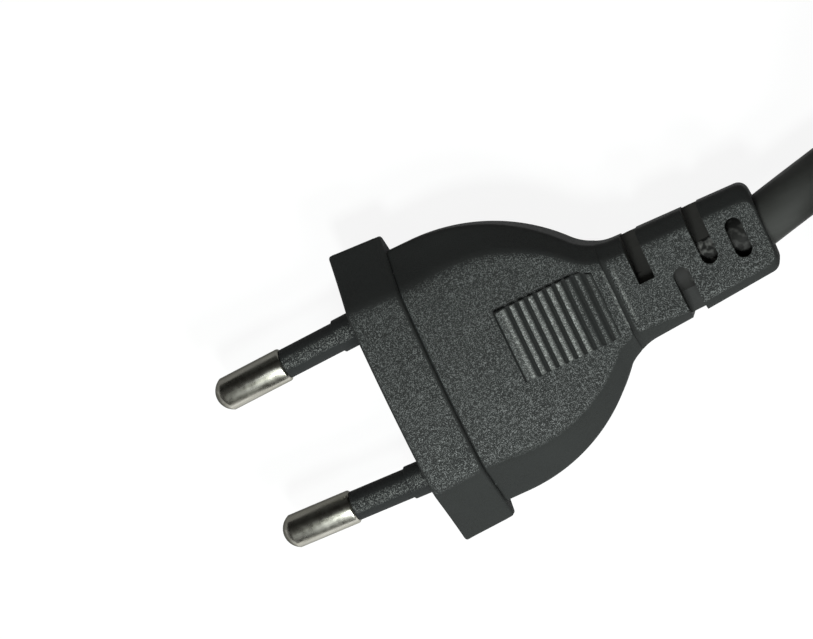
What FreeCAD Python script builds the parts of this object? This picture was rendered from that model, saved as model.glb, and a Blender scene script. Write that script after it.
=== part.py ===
"""Two-pin 2.5 A mains plug, moulded on a round two-core lead.

The plug lies on its broad side. X runs along the plug from the pins to the cord, Y across the two pins
and Z up from the surface that it lies on. Each solid is drawn with the engagement face at x = 0 and the
middle of the plug's height at z = 0, and is then moved to the frame by `to_frame`. Sizes are in millimetres.
"""

import FreeCAD
import Part
import math
import os

# Flange: the rim that a hand pulls on, with sloped ends
FLANGE_WIDTH_FRONT = 35.8
FLANGE_TAPER = 0.7
FLANGE_HEIGHT = 13.7
FLANGE_DEPTH = 6.4
FLANGE_SLOPE_WIDTH = 6.7
RIM_EASE = 0.3

# Grip: the body behind the flange, which rounds in to the neck
GRIP_WIDTH = 31.3
GRIP_HEIGHT = 12.0
GRIP_ROUNDING_START = 9.0
GRIP_ROUNDING_RADIUS = 21.8
GRIP_SLOPE_WIDTH = 4.7
GRIP_CROWN_START = 12.0
NECK_X = 28.0
NECK_HEIGHT = 10.2
NECK_SLOPE_WIDTH = 2.0
NECK_FILLET_RADIUS = 6.0
NECK_STEP = 0.35
NECK_RAMP_LENGTH = 0.9
RAMP_STATIONS = (0.0, 0.6, 2.0)
GRIP_STATIONS = 6

# Every section is an octagon: flat top, sloped sides with a rounded bend, small flat ends.
# A bend's arc takes up no more than this share of the sides that it joins.
SLOPE_RISE = 0.85
BEND_RADIUS = 3.0
CORNER_SHARE = 0.45

# Raised grip ribs on both broad faces
RIB_LAND_START = 15.15
RIB_LAND_LENGTH = 1.4
RIB_COUNT = 9
RIB_PITCH = 1.13
RIB_WIDTH = 0.52
RIB_SPAN = 8.1
RIB_HEIGHT = 0.4

# Slotted strain relief
BODY_LENGTH = 45.8
RELIEF_WIDTH_FRONT = 12.2
RELIEF_WIDTH_END = 10.3
RELIEF_HEIGHT_FRONT = 8.8
RELIEF_HEIGHT_END = 8.0
RELIEF_SLOPE_WIDTH = 1.9
RELIEF_BEND_RADIUS = 1.6
RELIEF_END_EASE = 0.5
SLOT_FIRST_X = 31.8
SLOT_PITCH = 3.67
SLOT_WIDTH = 1.9
SLOT_SQUARE_INNER_Y = 0.3
SLOT_LOWER_INNER_Y = 0.0
SLOT_UPPER_INNER_Y = -1.25
SLOT_WINDOW_LENGTH = 4.6
WEB_THICKNESS = 1.2
WEB_SET_IN = 0.5

# Contact pins, which lean towards each other at their tips
PIN_LENGTH = 19.0
PIN_BASE_SPACING = 18.8
PIN_TIP_SPACING = 17.5
PIN_DIAMETER = 4.0
PIN_BARE_LENGTH = 9.0
PIN_TIP_LENGTH = 1.35
PIN_TIP_SHOULDER = 0.9
PIN_TIP_SHOULDER_DIAMETER = 3.3
PIN_TIP_FLAT_DIAMETER = 1.6
SHANK_DIAMETER = 2.5
CRIMP_END = 14.6
CRIMP_DEPTH = 4.2
SLEEVE_DIAMETER = 3.5
COLLAR_DIAMETER = 3.95
COLLAR_LENGTH = 3.0

# Hard insert that holds the pins
BRIDGE_START = 1.6
BRIDGE_LENGTH = 8.0
BRIDGE_WIDTH = 26.4
BRIDGE_HEIGHT = 6.4

# Lead: a round two-core cord
CORD_DIAMETER = 5.9
CORE_DIAMETER = 2.2
CONDUCTOR_DIAMETER = 1.1
CRIMP_SIDES = 6
CORE_SPACING = 2.8
GRIP_OF_CORD_START = 27.0

# Route of the free cord from the strain relief to the hank, from the engagement face at mid height
LEAD_ROUTE = [
    (44.8, 0.0, 0.0),
    (56.0, 1.2, -0.7),
    (68.6, 4.5, -2.4),
    (80.1, 6.1, -3.3),
]

# Each arc of that route takes up this share of the shorter run beside it
RUN_SHARE = 0.45

# Hank: turns of the cord in two columns and three layers, with one more layer on the inner column
TIE_THICKNESS = 0.6
TIE_WIDTH = 4.0
HANK_NEAR_X = 49.5
HANK_FOLD_RADIUS = 17.7
HANK_STRAIGHT = 37.0
HANK_LAYERS = 3
HANK_OUTER_RUN_Y = 5.6
COLUMN_CLEARANCE = 0.3
HANK_ENTRY_X = 79.5
TAIL_END_X = 95.0

# Stripped far end
TAIL_WIRE_LENGTH = 29.0
TINNED_LENGTH = 7.0
WIRE_SPLAY = 0.5

# Sizes that follow from the ones above
FLANGE_WIDTH_REAR = FLANGE_WIDTH_FRONT - FLANGE_TAPER
CORD_RADIUS = CORD_DIAMETER / 2
CORE_RADIUS = CORE_DIAMETER / 2
CONDUCTOR_RADIUS = CONDUCTOR_DIAMETER / 2
PIN_LEAN = math.atan((PIN_BASE_SPACING - PIN_TIP_SPACING) / 2 / PIN_LENGTH)
TABLE_Z = -FLANGE_HEIGHT / 2
BRIDGE_END = BRIDGE_START + BRIDGE_LENGTH
HANK_COLUMN = CORD_DIAMETER
HANK_MIDDLE_Y = HANK_OUTER_RUN_Y - HANK_FOLD_RADIUS - HANK_COLUMN
HANK_INNER = HANK_FOLD_RADIUS - CORD_RADIUS
HANK_SPLIT = HANK_INNER + HANK_COLUMN
HANK_OUTER = HANK_SPLIT + HANK_COLUMN
HANK_NEAR_CENTRE = HANK_NEAR_X + HANK_OUTER
HANK_FAR_CENTRE = HANK_NEAR_CENTRE + HANK_STRAIGHT
HANK_BASE_Z = TABLE_Z + TIE_THICKNESS
HANK_TOP_Z = HANK_BASE_Z + HANK_LAYERS * CORD_DIAMETER
PLUG_MIDDLE_X = (BODY_LENGTH - PIN_LENGTH) / 2
FAR = 200.0


def vec(x, y, z):
    """Short form of a vector."""
    return FreeCAD.Vector(x, y, z)


def to_frame(shape):
    """Move a solid so that the plug's box stands on z = 0 with its middle on the origin."""
    moved = shape.copy()
    moved.translate(vec(-PLUG_MIDDLE_X, 0, -TABLE_Z))
    return moved


def export(name, shape):
    """Write one sub-part."""
    to_frame(shape).exportStep("parts/" + name + ".step")


def block(x0, x1, y0, y1, z0, z1):
    """Box between two corners."""
    return Part.makeBox(x1 - x0, y1 - y0, z1 - z0, vec(x0, y0, z0))


def rounded_outline(corners, radii):
    """Closed wire through corners, rounded by an arc where a radius is given, as far as the sides allow."""
    ends = []
    arcs = []
    count = len(corners)
    for index, corner in enumerate(corners):
        if not radii[index]:
            arcs.append(None)
            ends.append((corner, corner))
            continue
        before = corners[index - 1] - corner
        after = corners[(index + 1) % count] - corner
        half = before.getAngle(after) / 2
        limit = CORNER_SHARE * min(before.Length, after.Length)
        reach = min(radii[index] / math.tan(half), limit)
        radius = reach * math.tan(half)
        before.normalize()
        after.normalize()
        middle = corner + (before + after).normalize() * (radius / math.sin(half) - radius)
        start = corner + before * reach
        end = corner + after * reach
        arcs.append(Part.Arc(start, middle, end).toShape())
        ends.append((start, end))
    outline = []
    for index, arc in enumerate(arcs):
        if arc:
            outline.append(arc)
        outline.append(Part.makeLine(ends[index][1], ends[(index + 1) % count][0]))
    return Part.Wire(outline)


def section(x, width, height, slope_width, bend_radius=BEND_RADIUS, end_radius=0):
    """Octagonal section of the moulding at x."""
    half = width / 2
    top = height / 2
    flat = half - slope_width
    end = top - slope_width * SLOPE_RISE
    quarter = [(flat, top), (half, end)]
    right = quarter + [(y, -z) for y, z in reversed(quarter)]
    left = [(-y, -z) for y, z in right]
    corners = [vec(x, y, z) for y, z in right + left]
    radii = [bend_radius, end_radius, end_radius, bend_radius] * 2
    return rounded_outline(corners, radii)


def side_face(front, rear):
    """Face between two matching edges: a plane between lines, else a ruled face."""
    if front.Curve.TypeId == "Part::GeomLine":
        ends = [front.firstVertex(True), front.lastVertex(True)]
        ends += [rear.lastVertex(True), rear.firstVertex(True)]
        points = [end.Point for end in ends]
        return Part.Face(Part.makePolygon(points + points[:1]))
    return Part.makeRuledSurface(front, rear)


def loft(sections):
    """Solid with straight sides from each section to the next; all sections have the same edges."""
    faces = [Part.Face(sections[0]), Part.Face(sections[-1])]
    for front, rear in zip(sections, sections[1:]):
        for front_edge, rear_edge in zip(front.OrderedEdges, rear.OrderedEdges):
            faces.append(side_face(front_edge, rear_edge))
    shell = Part.makeShell(faces)
    shell.sewShape()
    return Part.makeSolid(shell)


def grip_half_width(x):
    """Plan of the grip: straight, then an arc, then the hollow fillet that runs into the strain relief."""
    arc_middle_y = GRIP_WIDTH / 2 - GRIP_ROUNDING_RADIUS
    fillet_middle_y = RELIEF_WIDTH_FRONT / 2 + NECK_FILLET_RADIUS
    reach = GRIP_ROUNDING_RADIUS + NECK_FILLET_RADIUS
    rise = fillet_middle_y - arc_middle_y
    run = math.sqrt(reach ** 2 - rise ** 2)
    fillet_middle_x = GRIP_ROUNDING_START + run
    meeting_x = GRIP_ROUNDING_START + run * GRIP_ROUNDING_RADIUS / reach
    if x <= GRIP_ROUNDING_START:
        return GRIP_WIDTH / 2
    if x <= meeting_x:
        return arc_middle_y + math.sqrt(GRIP_ROUNDING_RADIUS ** 2 - (x - GRIP_ROUNDING_START) ** 2)
    if x <= fillet_middle_x:
        return fillet_middle_y - math.sqrt(NECK_FILLET_RADIUS ** 2 - (fillet_middle_x - x) ** 2)
    return RELIEF_WIDTH_FRONT / 2


def share(x, start, end):
    """How far x has come from start to end, from 0 to 1."""
    return min(1.0, max(0.0, (x - start) / (end - start)))


def grip_height(x):
    """Height of the grip, which falls along a flat crown to the neck."""
    return GRIP_HEIGHT - (GRIP_HEIGHT - NECK_HEIGHT) * share(x, GRIP_CROWN_START, NECK_X) ** 2


def grip_slope_width(x):
    """Plan width of the grip's sloped sides, which narrow to the neck."""
    return GRIP_SLOPE_WIDTH + (NECK_SLOPE_WIDTH - GRIP_SLOPE_WIDTH) * share(x, GRIP_ROUNDING_START, NECK_X)


def relief_size(x):
    """Width and height of the strain relief at x."""
    along = share(x, NECK_X, BODY_LENGTH)
    width = RELIEF_WIDTH_FRONT + (RELIEF_WIDTH_END - RELIEF_WIDTH_FRONT) * along
    height = RELIEF_HEIGHT_FRONT + (RELIEF_HEIGHT_END - RELIEF_HEIGHT_FRONT) * along
    return width, height


def make_flange():
    """Flange, a little narrower at its rear, with both rims eased."""
    stations = []
    rear = FLANGE_DEPTH - RIM_EASE
    for x, ease in ((0, RIM_EASE), (RIM_EASE, 0), (rear, 0), (FLANGE_DEPTH, RIM_EASE)):
        width = FLANGE_WIDTH_FRONT + (FLANGE_WIDTH_REAR - FLANGE_WIDTH_FRONT) * x / FLANGE_DEPTH
        stations.append(section(x, width - 2 * ease, FLANGE_HEIGHT - 2 * ease, FLANGE_SLOPE_WIDTH))
    return loft(stations)


def grip_section(x):
    """Section of the grip at x."""
    return section(x, 2 * grip_half_width(x), grip_height(x), grip_slope_width(x))


def make_grip():
    """Grip from inside the flange to the neck."""
    step = (NECK_X - GRIP_ROUNDING_START) / (GRIP_STATIONS - 1)
    stations = [grip_section(FLANGE_DEPTH / 2)]
    for index in range(GRIP_STATIONS):
        stations.append(grip_section(GRIP_ROUNDING_START + step * index))
    return loft(stations)


def make_relief():
    """Strain relief: a hollow ramp behind the neck, then a slim taper to the cord with its end eased."""
    stations = []
    for along in RAMP_STATIONS:
        x = NECK_X + NECK_RAMP_LENGTH * along
        width, height = relief_size(x)
        lift = (NECK_HEIGHT - 2 * NECK_STEP - height) * max(0.0, 1 - along) ** 2
        stations.append(relief_section(x, 2 * max(grip_half_width(x), width / 2), height + lift))
    for x, ease in ((BODY_LENGTH - RELIEF_END_EASE, 0), (BODY_LENGTH, RELIEF_END_EASE)):
        width, height = relief_size(x)
        stations.append(relief_section(x, width - 2 * ease, height - 2 * ease))
    return loft(stations)


def relief_section(x, width, height):
    """Section of the strain relief at x."""
    return section(x, width, height, RELIEF_SLOPE_WIDTH, RELIEF_BEND_RADIUS, RELIEF_BEND_RADIUS)


def make_ribs(grip):
    """Raised bars across both broad faces, which follow the grip's crown."""
    first = RIB_LAND_START + RIB_LAND_LENGTH + RIB_PITCH - RIB_WIDTH
    spans = [(RIB_LAND_START, RIB_LAND_START + RIB_LAND_LENGTH)]
    for index in range(RIB_COUNT):
        start = first + RIB_PITCH * index
        spans.append((start, start + RIB_WIDTH))
    upper = Part.makeCompound([block(a, b, -RIB_SPAN / 2, RIB_SPAN / 2, 0, FAR) for a, b in spans])
    raised = grip.copy()
    raised.translate(vec(0, 0, RIB_HEIGHT))
    bars = raised.common(upper)
    return [bars, bars.mirror(vec(0, 0, 0), vec(0, 0, 1))]


def upright_slot(x, y0, y1, round_low, round_high):
    """Prism through the strain relief, with a round or a square end at each side."""
    radius = SLOT_WIDTH / 2
    low = y0 + radius if round_low else y0
    high = y1 - radius if round_high else y1
    slot = block(x - radius, x + radius, low, high, -FLANGE_HEIGHT, FLANGE_HEIGHT)
    for wanted, y in ((round_low, low), (round_high, high)):
        if wanted:
            slot = slot.fuse(Part.makeCylinder(radius, 2 * FLANGE_HEIGHT, vec(x, y, -FLANGE_HEIGHT)))
    return slot


def make_slots():
    """Slots of the strain relief, less the thin web left at mid height."""
    edge = RELIEF_WIDTH_FRONT
    half_window = SLOT_WINDOW_LENGTH / 2
    spans = [
        (SLOT_SQUARE_INNER_Y, edge, False, False),
        (-edge, SLOT_LOWER_INNER_Y, False, True),
        (SLOT_UPPER_INNER_Y, edge, True, False),
        (-half_window, half_window, True, True),
    ]
    cut = []
    for index, (low, high, round_low, round_high) in enumerate(spans):
        x = SLOT_FIRST_X + SLOT_PITCH * index
        slot = upright_slot(x, low, high, round_low, round_high)
        half = relief_size(x)[0] / 2 - WEB_SET_IN
        web = block(x - SLOT_WIDTH, x + SLOT_WIDTH, -half, half, -WEB_THICKNESS / 2, WEB_THICKNESS / 2)
        cut.append(slot.cut(web))
    return cut


def on_pin_axis(shape, side):
    """Place a turned piece, drawn along -X from the face, on a pin's leaning axis."""
    placed = shape.copy()
    placed.rotate(vec(0, 0, 0), vec(0, 0, 1), math.degrees(PIN_LEAN) * side)
    placed.translate(vec(0, side * PIN_BASE_SPACING / 2, 0))
    return placed


def turned(edges):
    """Solid turned about X from the edges of a closed half profile."""
    return Part.Face(Part.Wire(edges)).revolve(vec(0, 0, 0), vec(1, 0, 0), 360)


def outline_edges(points):
    """Straight edges through points of a half profile, given as (x, radius)."""
    corners = [vec(x, radius, 0) for x, radius in points]
    return [Part.makeLine(a, b) for a, b in zip(corners, corners[1:])]


def make_pin():
    """Pin drawn from its crimp inside the plug to its blunt tip."""
    shank = SHANK_DIAMETER / 2
    side = PIN_DIAMETER / 2
    bare_start = PIN_BARE_LENGTH - PIN_LENGTH
    pin = turned(outline_edges([
        (CRIMP_END, 0), (CRIMP_END, shank), (bare_start, shank), (bare_start, side),
        (PIN_TIP_LENGTH - PIN_LENGTH, side),
        (PIN_TIP_LENGTH - PIN_TIP_SHOULDER - PIN_LENGTH, PIN_TIP_SHOULDER_DIAMETER / 2),
        (-PIN_LENGTH, PIN_TIP_FLAT_DIAMETER / 2), (-PIN_LENGTH, 0), (CRIMP_END, 0),
    ]))
    return pin.cut(make_conductor())


def make_conductor():
    """End of a core's strands, pressed six-sided in the pin's crimp."""
    corners = []
    for index in range(CRIMP_SIDES):
        angle = 2 * math.pi * index / CRIMP_SIDES
        y = CONDUCTOR_RADIUS * math.cos(angle)
        z = CONDUCTOR_RADIUS * math.sin(angle)
        corners.append(vec(CRIMP_END, y, z))
    return Part.Face(Part.makePolygon(corners + corners[:1])).extrude(vec(-CRIMP_DEPTH, 0, 0))


def make_sleeve():
    """Sleeve on the pin's shank, with its collar at the face; it runs into the insert's place."""
    bare_start = PIN_BARE_LENGTH - PIN_LENGTH
    inside = SHANK_DIAMETER / 2
    outside = SLEEVE_DIAMETER / 2
    collar = COLLAR_DIAMETER / 2
    return turned(outline_edges([
        (bare_start, inside), (bare_start, outside), (-COLLAR_LENGTH, outside), (-COLLAR_LENGTH, collar),
        (BRIDGE_END, collar), (BRIDGE_END, inside), (bare_start, inside),
    ]))


def make_bridge(pins):
    """Hard insert, bored for the pins that it holds."""
    side = BRIDGE_WIDTH / 2
    end = BRIDGE_HEIGHT / 2
    return block(BRIDGE_START, BRIDGE_END, -side, side, -end, end).cut(pins)


def smooth_path(points, label):
    """Straight runs joined by tangent arcs as large as the runs allow."""
    corners = [vec(*point) for point in points]
    edges = []
    radii = []
    last = corners[0]
    for before, corner, after in zip(corners, corners[1:], corners[2:]):
        back = before - corner
        ahead = after - corner
        turn = math.pi - back.getAngle(ahead)
        reach = RUN_SHARE * min(back.Length, ahead.Length)
        radius = reach / math.tan(turn / 2)
        radii.append(round(radius, 1))
        back.normalize()
        ahead.normalize()
        start = corner + back * reach
        end = corner + ahead * reach
        inward = (back + ahead).normalize() * (radius / math.cos(turn / 2) - radius)
        edges.append(Part.makeLine(last, start))
        edges.append(Part.Arc(start, corner + inward, end).toShape())
        last = end
    edges.append(Part.makeLine(last, corners[-1]))
    print(label, "bend radii", radii)
    return Part.Wire(edges)


def tube(path, radius):
    """Round solid along a path."""
    first = path.OrderedEdges[0]
    start = first.valueAt(first.FirstParameter)
    heading = first.tangentAt(first.FirstParameter)
    disc = Part.Face(Part.Wire([Part.makeCircle(radius, start, heading)]))
    solid = path.makePipe(disc)
    wanted = math.pi * radius ** 2 * path.Length
    print("tube volume", round(solid.Volume, 2), "of", round(wanted, 2))
    return solid


def make_core(side):
    """One core, straight from its crimp to the sheath."""
    along = vec(math.cos(PIN_LEAN), side * math.sin(PIN_LEAN), 0)
    start = vec(0, side * PIN_BASE_SPACING / 2, 0) + along * CRIMP_END
    heading = vec(GRIP_OF_CORD_START, side * CORE_SPACING / 2, 0) - start
    length = heading.Length + 2 * CORE_DIAMETER
    heading.normalize()
    core = Part.makeCylinder(CORE_RADIUS, length, start - heading * CORE_DIAMETER, heading)
    crimped = on_pin_axis(block(0, CRIMP_END, -FAR, FAR, -FAR, FAR), side)
    return core.cut([crimped, block(GRIP_OF_CORD_START, FAR, -FAR, FAR, -FAR, FAR)])


def make_lead():
    """Free cord from the end of the strain relief to its place in the hank."""
    lead = tube(smooth_path(LEAD_ROUTE, "lead"), CORD_RADIUS)
    ends = [block(0, BODY_LENGTH, -FAR, FAR, -FAR, FAR), block(HANK_ENTRY_X, FAR, -FAR, FAR, -FAR, FAR)]
    return lead.cut(ends)


def oblong(reach, base, top):
    """Upright solid of the hank's plan, reaching out this far from its middle line."""
    near = Part.makeCylinder(reach, top - base, vec(HANK_NEAR_CENTRE, HANK_MIDDLE_Y, base))
    far = Part.makeCylinder(reach, top - base, vec(HANK_FAR_CENTRE, HANK_MIDDLE_Y, base))
    low_y = HANK_MIDDLE_Y - reach
    high_y = HANK_MIDDLE_Y + reach
    middle = block(HANK_NEAR_CENTRE, HANK_FAR_CENTRE, low_y, high_y, base, top)
    return middle.fuse([near, far]).removeSplitter()


def hank_ring(inner, outer, base, top):
    """Turns between two reaches and two heights."""
    return oblong(outer, base, top).cut(oblong(inner, base, top))


def make_hank():
    """Outer shape of the hank, with room at its near fold for the cord that comes in."""
    entry_top = HANK_TOP_Z - CORD_DIAMETER
    room = block(0, HANK_ENTRY_X, HANK_MIDDLE_Y, FAR, HANK_BASE_Z, entry_top)
    room = room.cut(oblong(HANK_SPLIT - COLUMN_CLEARANCE, HANK_BASE_Z, entry_top))
    turns = hank_ring(HANK_INNER, HANK_OUTER, HANK_BASE_Z, HANK_TOP_Z).cut(room)
    over = HANK_TOP_Z + CORD_DIAMETER
    unused = block(0, HANK_NEAR_CENTRE, -FAR, FAR, HANK_TOP_Z, over)
    tail = block(0, TAIL_END_X, -FAR, HANK_MIDDLE_Y, HANK_TOP_Z, over)
    last_turn = hank_ring(HANK_INNER, HANK_SPLIT, HANK_TOP_Z, over).cut([unused, tail])
    return turns.fuse(last_turn).removeSplitter()


def make_tie(side):
    """Strip round one side of the hank, tight on its turns."""
    over = HANK_TOP_Z + CORD_DIAMETER
    inside = [(HANK_INNER, HANK_BASE_Z), (HANK_OUTER, HANK_BASE_Z), (HANK_OUTER, HANK_TOP_Z),
              (HANK_SPLIT, over), (HANK_INNER, over)]
    middle_x = (HANK_NEAR_CENTRE + HANK_FAR_CENTRE) / 2
    corners = [vec(middle_x - TIE_WIDTH / 2, HANK_MIDDLE_Y + side * y, z) for y, z in inside]
    hole = Part.makePolygon(corners + corners[:1])
    strip = Part.Face(hole.makeOffset2D(TIE_THICKNESS, 2)).cut(Part.Face(hole))
    return strip.extrude(vec(TIE_WIDTH, 0, 0))


def make_tail_wire(side):
    """Stripped core of the far end and its tinned tip, drooping onto the top of the hank."""
    start_y = HANK_MIDDLE_Y - HANK_FOLD_RADIUS + side * CORE_SPACING / 2
    start = vec(TAIL_END_X, start_y, HANK_TOP_Z + CORD_RADIUS)
    droop = vec(-TAIL_WIRE_LENGTH - TINNED_LENGTH, side * WIRE_SPLAY, CORE_RADIUS - CORD_RADIUS).normalize()
    overlap = CORE_DIAMETER
    wire = Part.makeCylinder(CORE_RADIUS, TAIL_WIRE_LENGTH + overlap, start - droop * overlap, droop)
    wire = wire.cut(block(TAIL_END_X, TAIL_END_X + FAR, -FAR, FAR, -FAR, FAR))
    tip = Part.makeCylinder(CONDUCTOR_RADIUS, TINNED_LENGTH, start + droop * TAIL_WIRE_LENGTH, droop)
    return wire, tip


def main():
    """Build and write every sub-part."""
    os.makedirs("parts", exist_ok=True)

    pins = {}
    sleeves = {}
    cores = {}
    conductors = {}
    beyond_bridge = block(BRIDGE_START, FAR, -FAR, FAR, -FAR, FAR)
    for name, core_name, side in (("left", "brown", 1), ("right", "blue", -1)):
        pins[name] = on_pin_axis(make_pin(), side)
        sleeves[name] = on_pin_axis(make_sleeve(), side).cut(beyond_bridge)
        cores[core_name] = make_core(side)
        conductors[core_name] = on_pin_axis(make_conductor(), side)
    bridge = make_bridge(list(pins.values()))

    grip_length = BODY_LENGTH - GRIP_OF_CORD_START
    cord_grip = Part.makeCylinder(CORD_RADIUS, grip_length, vec(GRIP_OF_CORD_START, 0, 0), vec(1, 0, 0))
    # A quarter turn moves the cylinder's seam from under the slots to the web at mid height.
    cord_grip.rotate(vec(0, 0, 0), vec(1, 0, 0), 90)

    grip = make_grip()
    body = make_flange().fuse([grip, make_relief()] + make_ribs(grip))
    inner = [bridge, cord_grip]
    for pieces in (pins, sleeves, cores, conductors):
        inner += pieces.values()
    body = body.cut(make_slots()).cut(inner).removeSplitter()

    export("plug_body", body)
    export("pin_bridge", bridge)
    for name in pins:
        export(name + "_pin", pins[name])
        export(name + "_pin_sleeve", sleeves[name])
    for name in cores:
        export(name + "_core", cores[name])
        export(name + "_conductor", conductors[name])
    export("cord_grip", cord_grip)
    export("cord_lead", make_lead())
    export("cord_hank", make_hank())
    export("hank_ties", Part.makeCompound([make_tie(1), make_tie(-1)]))
    brown_wire, brown_tip = make_tail_wire(1)
    blue_wire, blue_tip = make_tail_wire(-1)
    export("brown_tail_wire", brown_wire)
    export("blue_tail_wire", blue_wire)
    export("tinned_wire_ends", Part.makeCompound([brown_tip, blue_tip]))


main()
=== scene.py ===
"""Flat two-pin mains plug on its lead: moulded body, sleeved pins, cord, tied hank and stripped wire ends.

The plug's own sizes are in millimetres, with x from the engagement face and z from mid height. Everything
that reaches Blender is in metres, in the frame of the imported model.
"""

import logging
import math
from dataclasses import dataclass, replace
from enum import Enum
from typing import Callable, Sequence, Union

import bmesh
import bpy
from mathutils import Matrix, Quaternion, Vector


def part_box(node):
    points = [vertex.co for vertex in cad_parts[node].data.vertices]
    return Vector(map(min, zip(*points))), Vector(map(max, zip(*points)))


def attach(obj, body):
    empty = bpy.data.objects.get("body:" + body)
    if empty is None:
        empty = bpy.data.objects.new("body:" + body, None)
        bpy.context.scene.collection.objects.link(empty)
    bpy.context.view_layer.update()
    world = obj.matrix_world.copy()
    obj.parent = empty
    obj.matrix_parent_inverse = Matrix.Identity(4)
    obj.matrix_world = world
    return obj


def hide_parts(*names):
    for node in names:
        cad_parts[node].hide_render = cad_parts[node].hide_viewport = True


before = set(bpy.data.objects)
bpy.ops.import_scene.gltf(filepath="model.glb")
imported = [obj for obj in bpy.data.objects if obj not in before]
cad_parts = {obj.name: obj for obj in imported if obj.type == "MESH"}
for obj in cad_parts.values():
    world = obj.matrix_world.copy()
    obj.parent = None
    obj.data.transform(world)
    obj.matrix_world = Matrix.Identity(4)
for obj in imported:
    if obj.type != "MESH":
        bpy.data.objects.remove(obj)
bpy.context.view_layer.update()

LOG = logging.getLogger("plug")
MM = 0.001
ROOT = "root"
# Point attribute that carries the painted highlight on rib crests, the neck lip and the ramp's edge
HIGHLIGHT_ATTRIBUTE = "handled"

# Angle in degrees from which an edge is shaded sharp
CREASE = 35.0
# Most of an outline's side that one rounded corner may take
CORNER_SHARE = 0.48

Colour = tuple[float, float, float]
Point2 = tuple[float, float]
Point3 = tuple[float, float, float]
Socket = bpy.types.NodeSocket
Feed = Union[Socket, float, Colour, Vector]
Setting = Union[str, bool, bpy.types.NodeTree]
Skin = tuple[list[Vector], list[list[int]]]


# Places in the frame


@dataclass(frozen=True)
class PlugFrame:
    """Where the plug's drawing lies in the frame."""

    face_x: float
    middle_z: float

    @classmethod
    def from_node(cls, node: str) -> "PlugFrame":
        """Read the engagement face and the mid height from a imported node's box.

        Args:
            node: Name of the moulded body.

        Returns:
            The plug's place in the frame.
        """
        low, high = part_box(node)
        return cls(low.x, (low.z + high.z) / 2)

    def at(self, x: float, y: float, z: float) -> Vector:
        """Point of the drawing, in millimetres, as a point of the frame, in metres."""
        return Vector((self.face_x + x * MM, y * MM, self.middle_z + z * MM))


# Mesh helpers


def mesh_object(name: str, points: Sequence[Vector], faces: Sequence[Sequence[int]]) -> bpy.types.Object:
    """Make an object with smooth faces and sharp creases.

    Args:
        name: Name of the piece.
        points: Vertices in the frame, in metres.
        faces: Vertex numbers of each face.

    Returns:
        The new object.
    """
    mesh = bpy.data.meshes.new(name)
    mesh.from_pydata([tuple(point) for point in points], [], [tuple(face) for face in faces])
    work = bmesh.new()
    work.from_mesh(mesh)
    bmesh.ops.recalc_face_normals(work, faces=work.faces)
    work.to_mesh(mesh)
    work.free()
    piece = bpy.data.objects.new(name, mesh)
    bpy.context.scene.collection.objects.link(piece)
    smooth(piece)
    return piece


def smooth(piece: bpy.types.Object, crease: float = CREASE) -> None:
    """Shade a piece smooth, with sharp edges from the crease angle on, in degrees.

    Args:
        piece: The piece.
        crease: Angle from which an edge is sharp.
    """
    mesh = piece.data
    mesh.polygons.foreach_set("use_smooth", [True] * len(mesh.polygons))
    mesh.set_sharp_from_angle(angle=math.radians(crease))
    mesh.update()


def skin(rings: Sequence[Sequence[Vector]]) -> Skin:
    """Close a row of rings with the same number of points into a solid skin.

    Args:
        rings: Points round each section, in order.

    Returns:
        Vertices and faces, with a cap on both ends.
    """
    count = len(rings[0])
    points = [point for ring in rings for point in ring]
    faces = []
    for row in range(len(rings) - 1):
        base = row * count
        for index in range(count):
            after = (index + 1) % count
            faces.append([base + index, base + after, base + count + after, base + count + index])
    faces.append(list(range(count))[::-1])
    faces.append([(len(rings) - 1) * count + index for index in range(count)])
    return points, faces


def joined(skins: Sequence[Skin]) -> Skin:
    """Several skins as one.

    Args:
        skins: Skins that each number their vertices from 0.

    Returns:
        Vertices and faces of all.
    """
    points: list[Vector] = []
    faces: list[list[int]] = []
    for added, made in skins:
        base = len(points)
        points += added
        faces += [[base + index for index in face] for face in made]
    return points, faces


def lathe(profile: Sequence[Point2], place: Callable[[float, float, float], Vector], sides: int) -> Skin:
    """Turn a half profile about its x axis.

    Args:
        profile: Points as (x, radius), from one end to the other, with radii above 0.
        place: Gives the frame's point for x and two offsets across the axis.
        sides: Points round each ring.

    Returns:
        Vertices and faces of the closed skin.
    """
    rings = []
    for x, radius in profile:
        ring = []
        for index in range(sides):
            angle = 2 * math.pi * index / sides
            ring.append(place(x, radius * math.cos(angle), radius * math.sin(angle)))
        rings.append(ring)
    return skin(rings)


def rounded_step(
    corner: Point2, before: Point2, after: Point2, radius: float, steps: int = 4,
) -> list[Point2]:
    """Arc that rounds a corner of an outline, as far as half of its sides allow.

    Args:
        corner: The corner itself.
        before: Neighbour on one side.
        after: Neighbour on the other side.
        radius: Wanted radius.
        steps: Parts that the arc is divided into.

    Returns:
        Points of the arc, from the side of before to the side of after.
    """
    middle = Vector(corner)
    back = Vector(before) - middle
    ahead = Vector(after) - middle
    half = back.angle(ahead) / 2
    reach = min(radius / math.tan(half), CORNER_SHARE * back.length, CORNER_SHARE * ahead.length)
    radius = reach * math.tan(half)
    start = middle + back.normalized() * reach
    end = middle + ahead.normalized() * reach
    centre = middle + (back.normalized() + ahead.normalized()).normalized() * (radius / math.sin(half))
    first = start - centre
    sweep = first.angle_signed(end - centre)
    arc = []
    for index in range(steps + 1):
        turned = first.copy()
        turned.rotate(Matrix.Rotation(-sweep * index / steps, 2))
        arc.append(tuple(centre + turned))
    return arc


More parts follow.
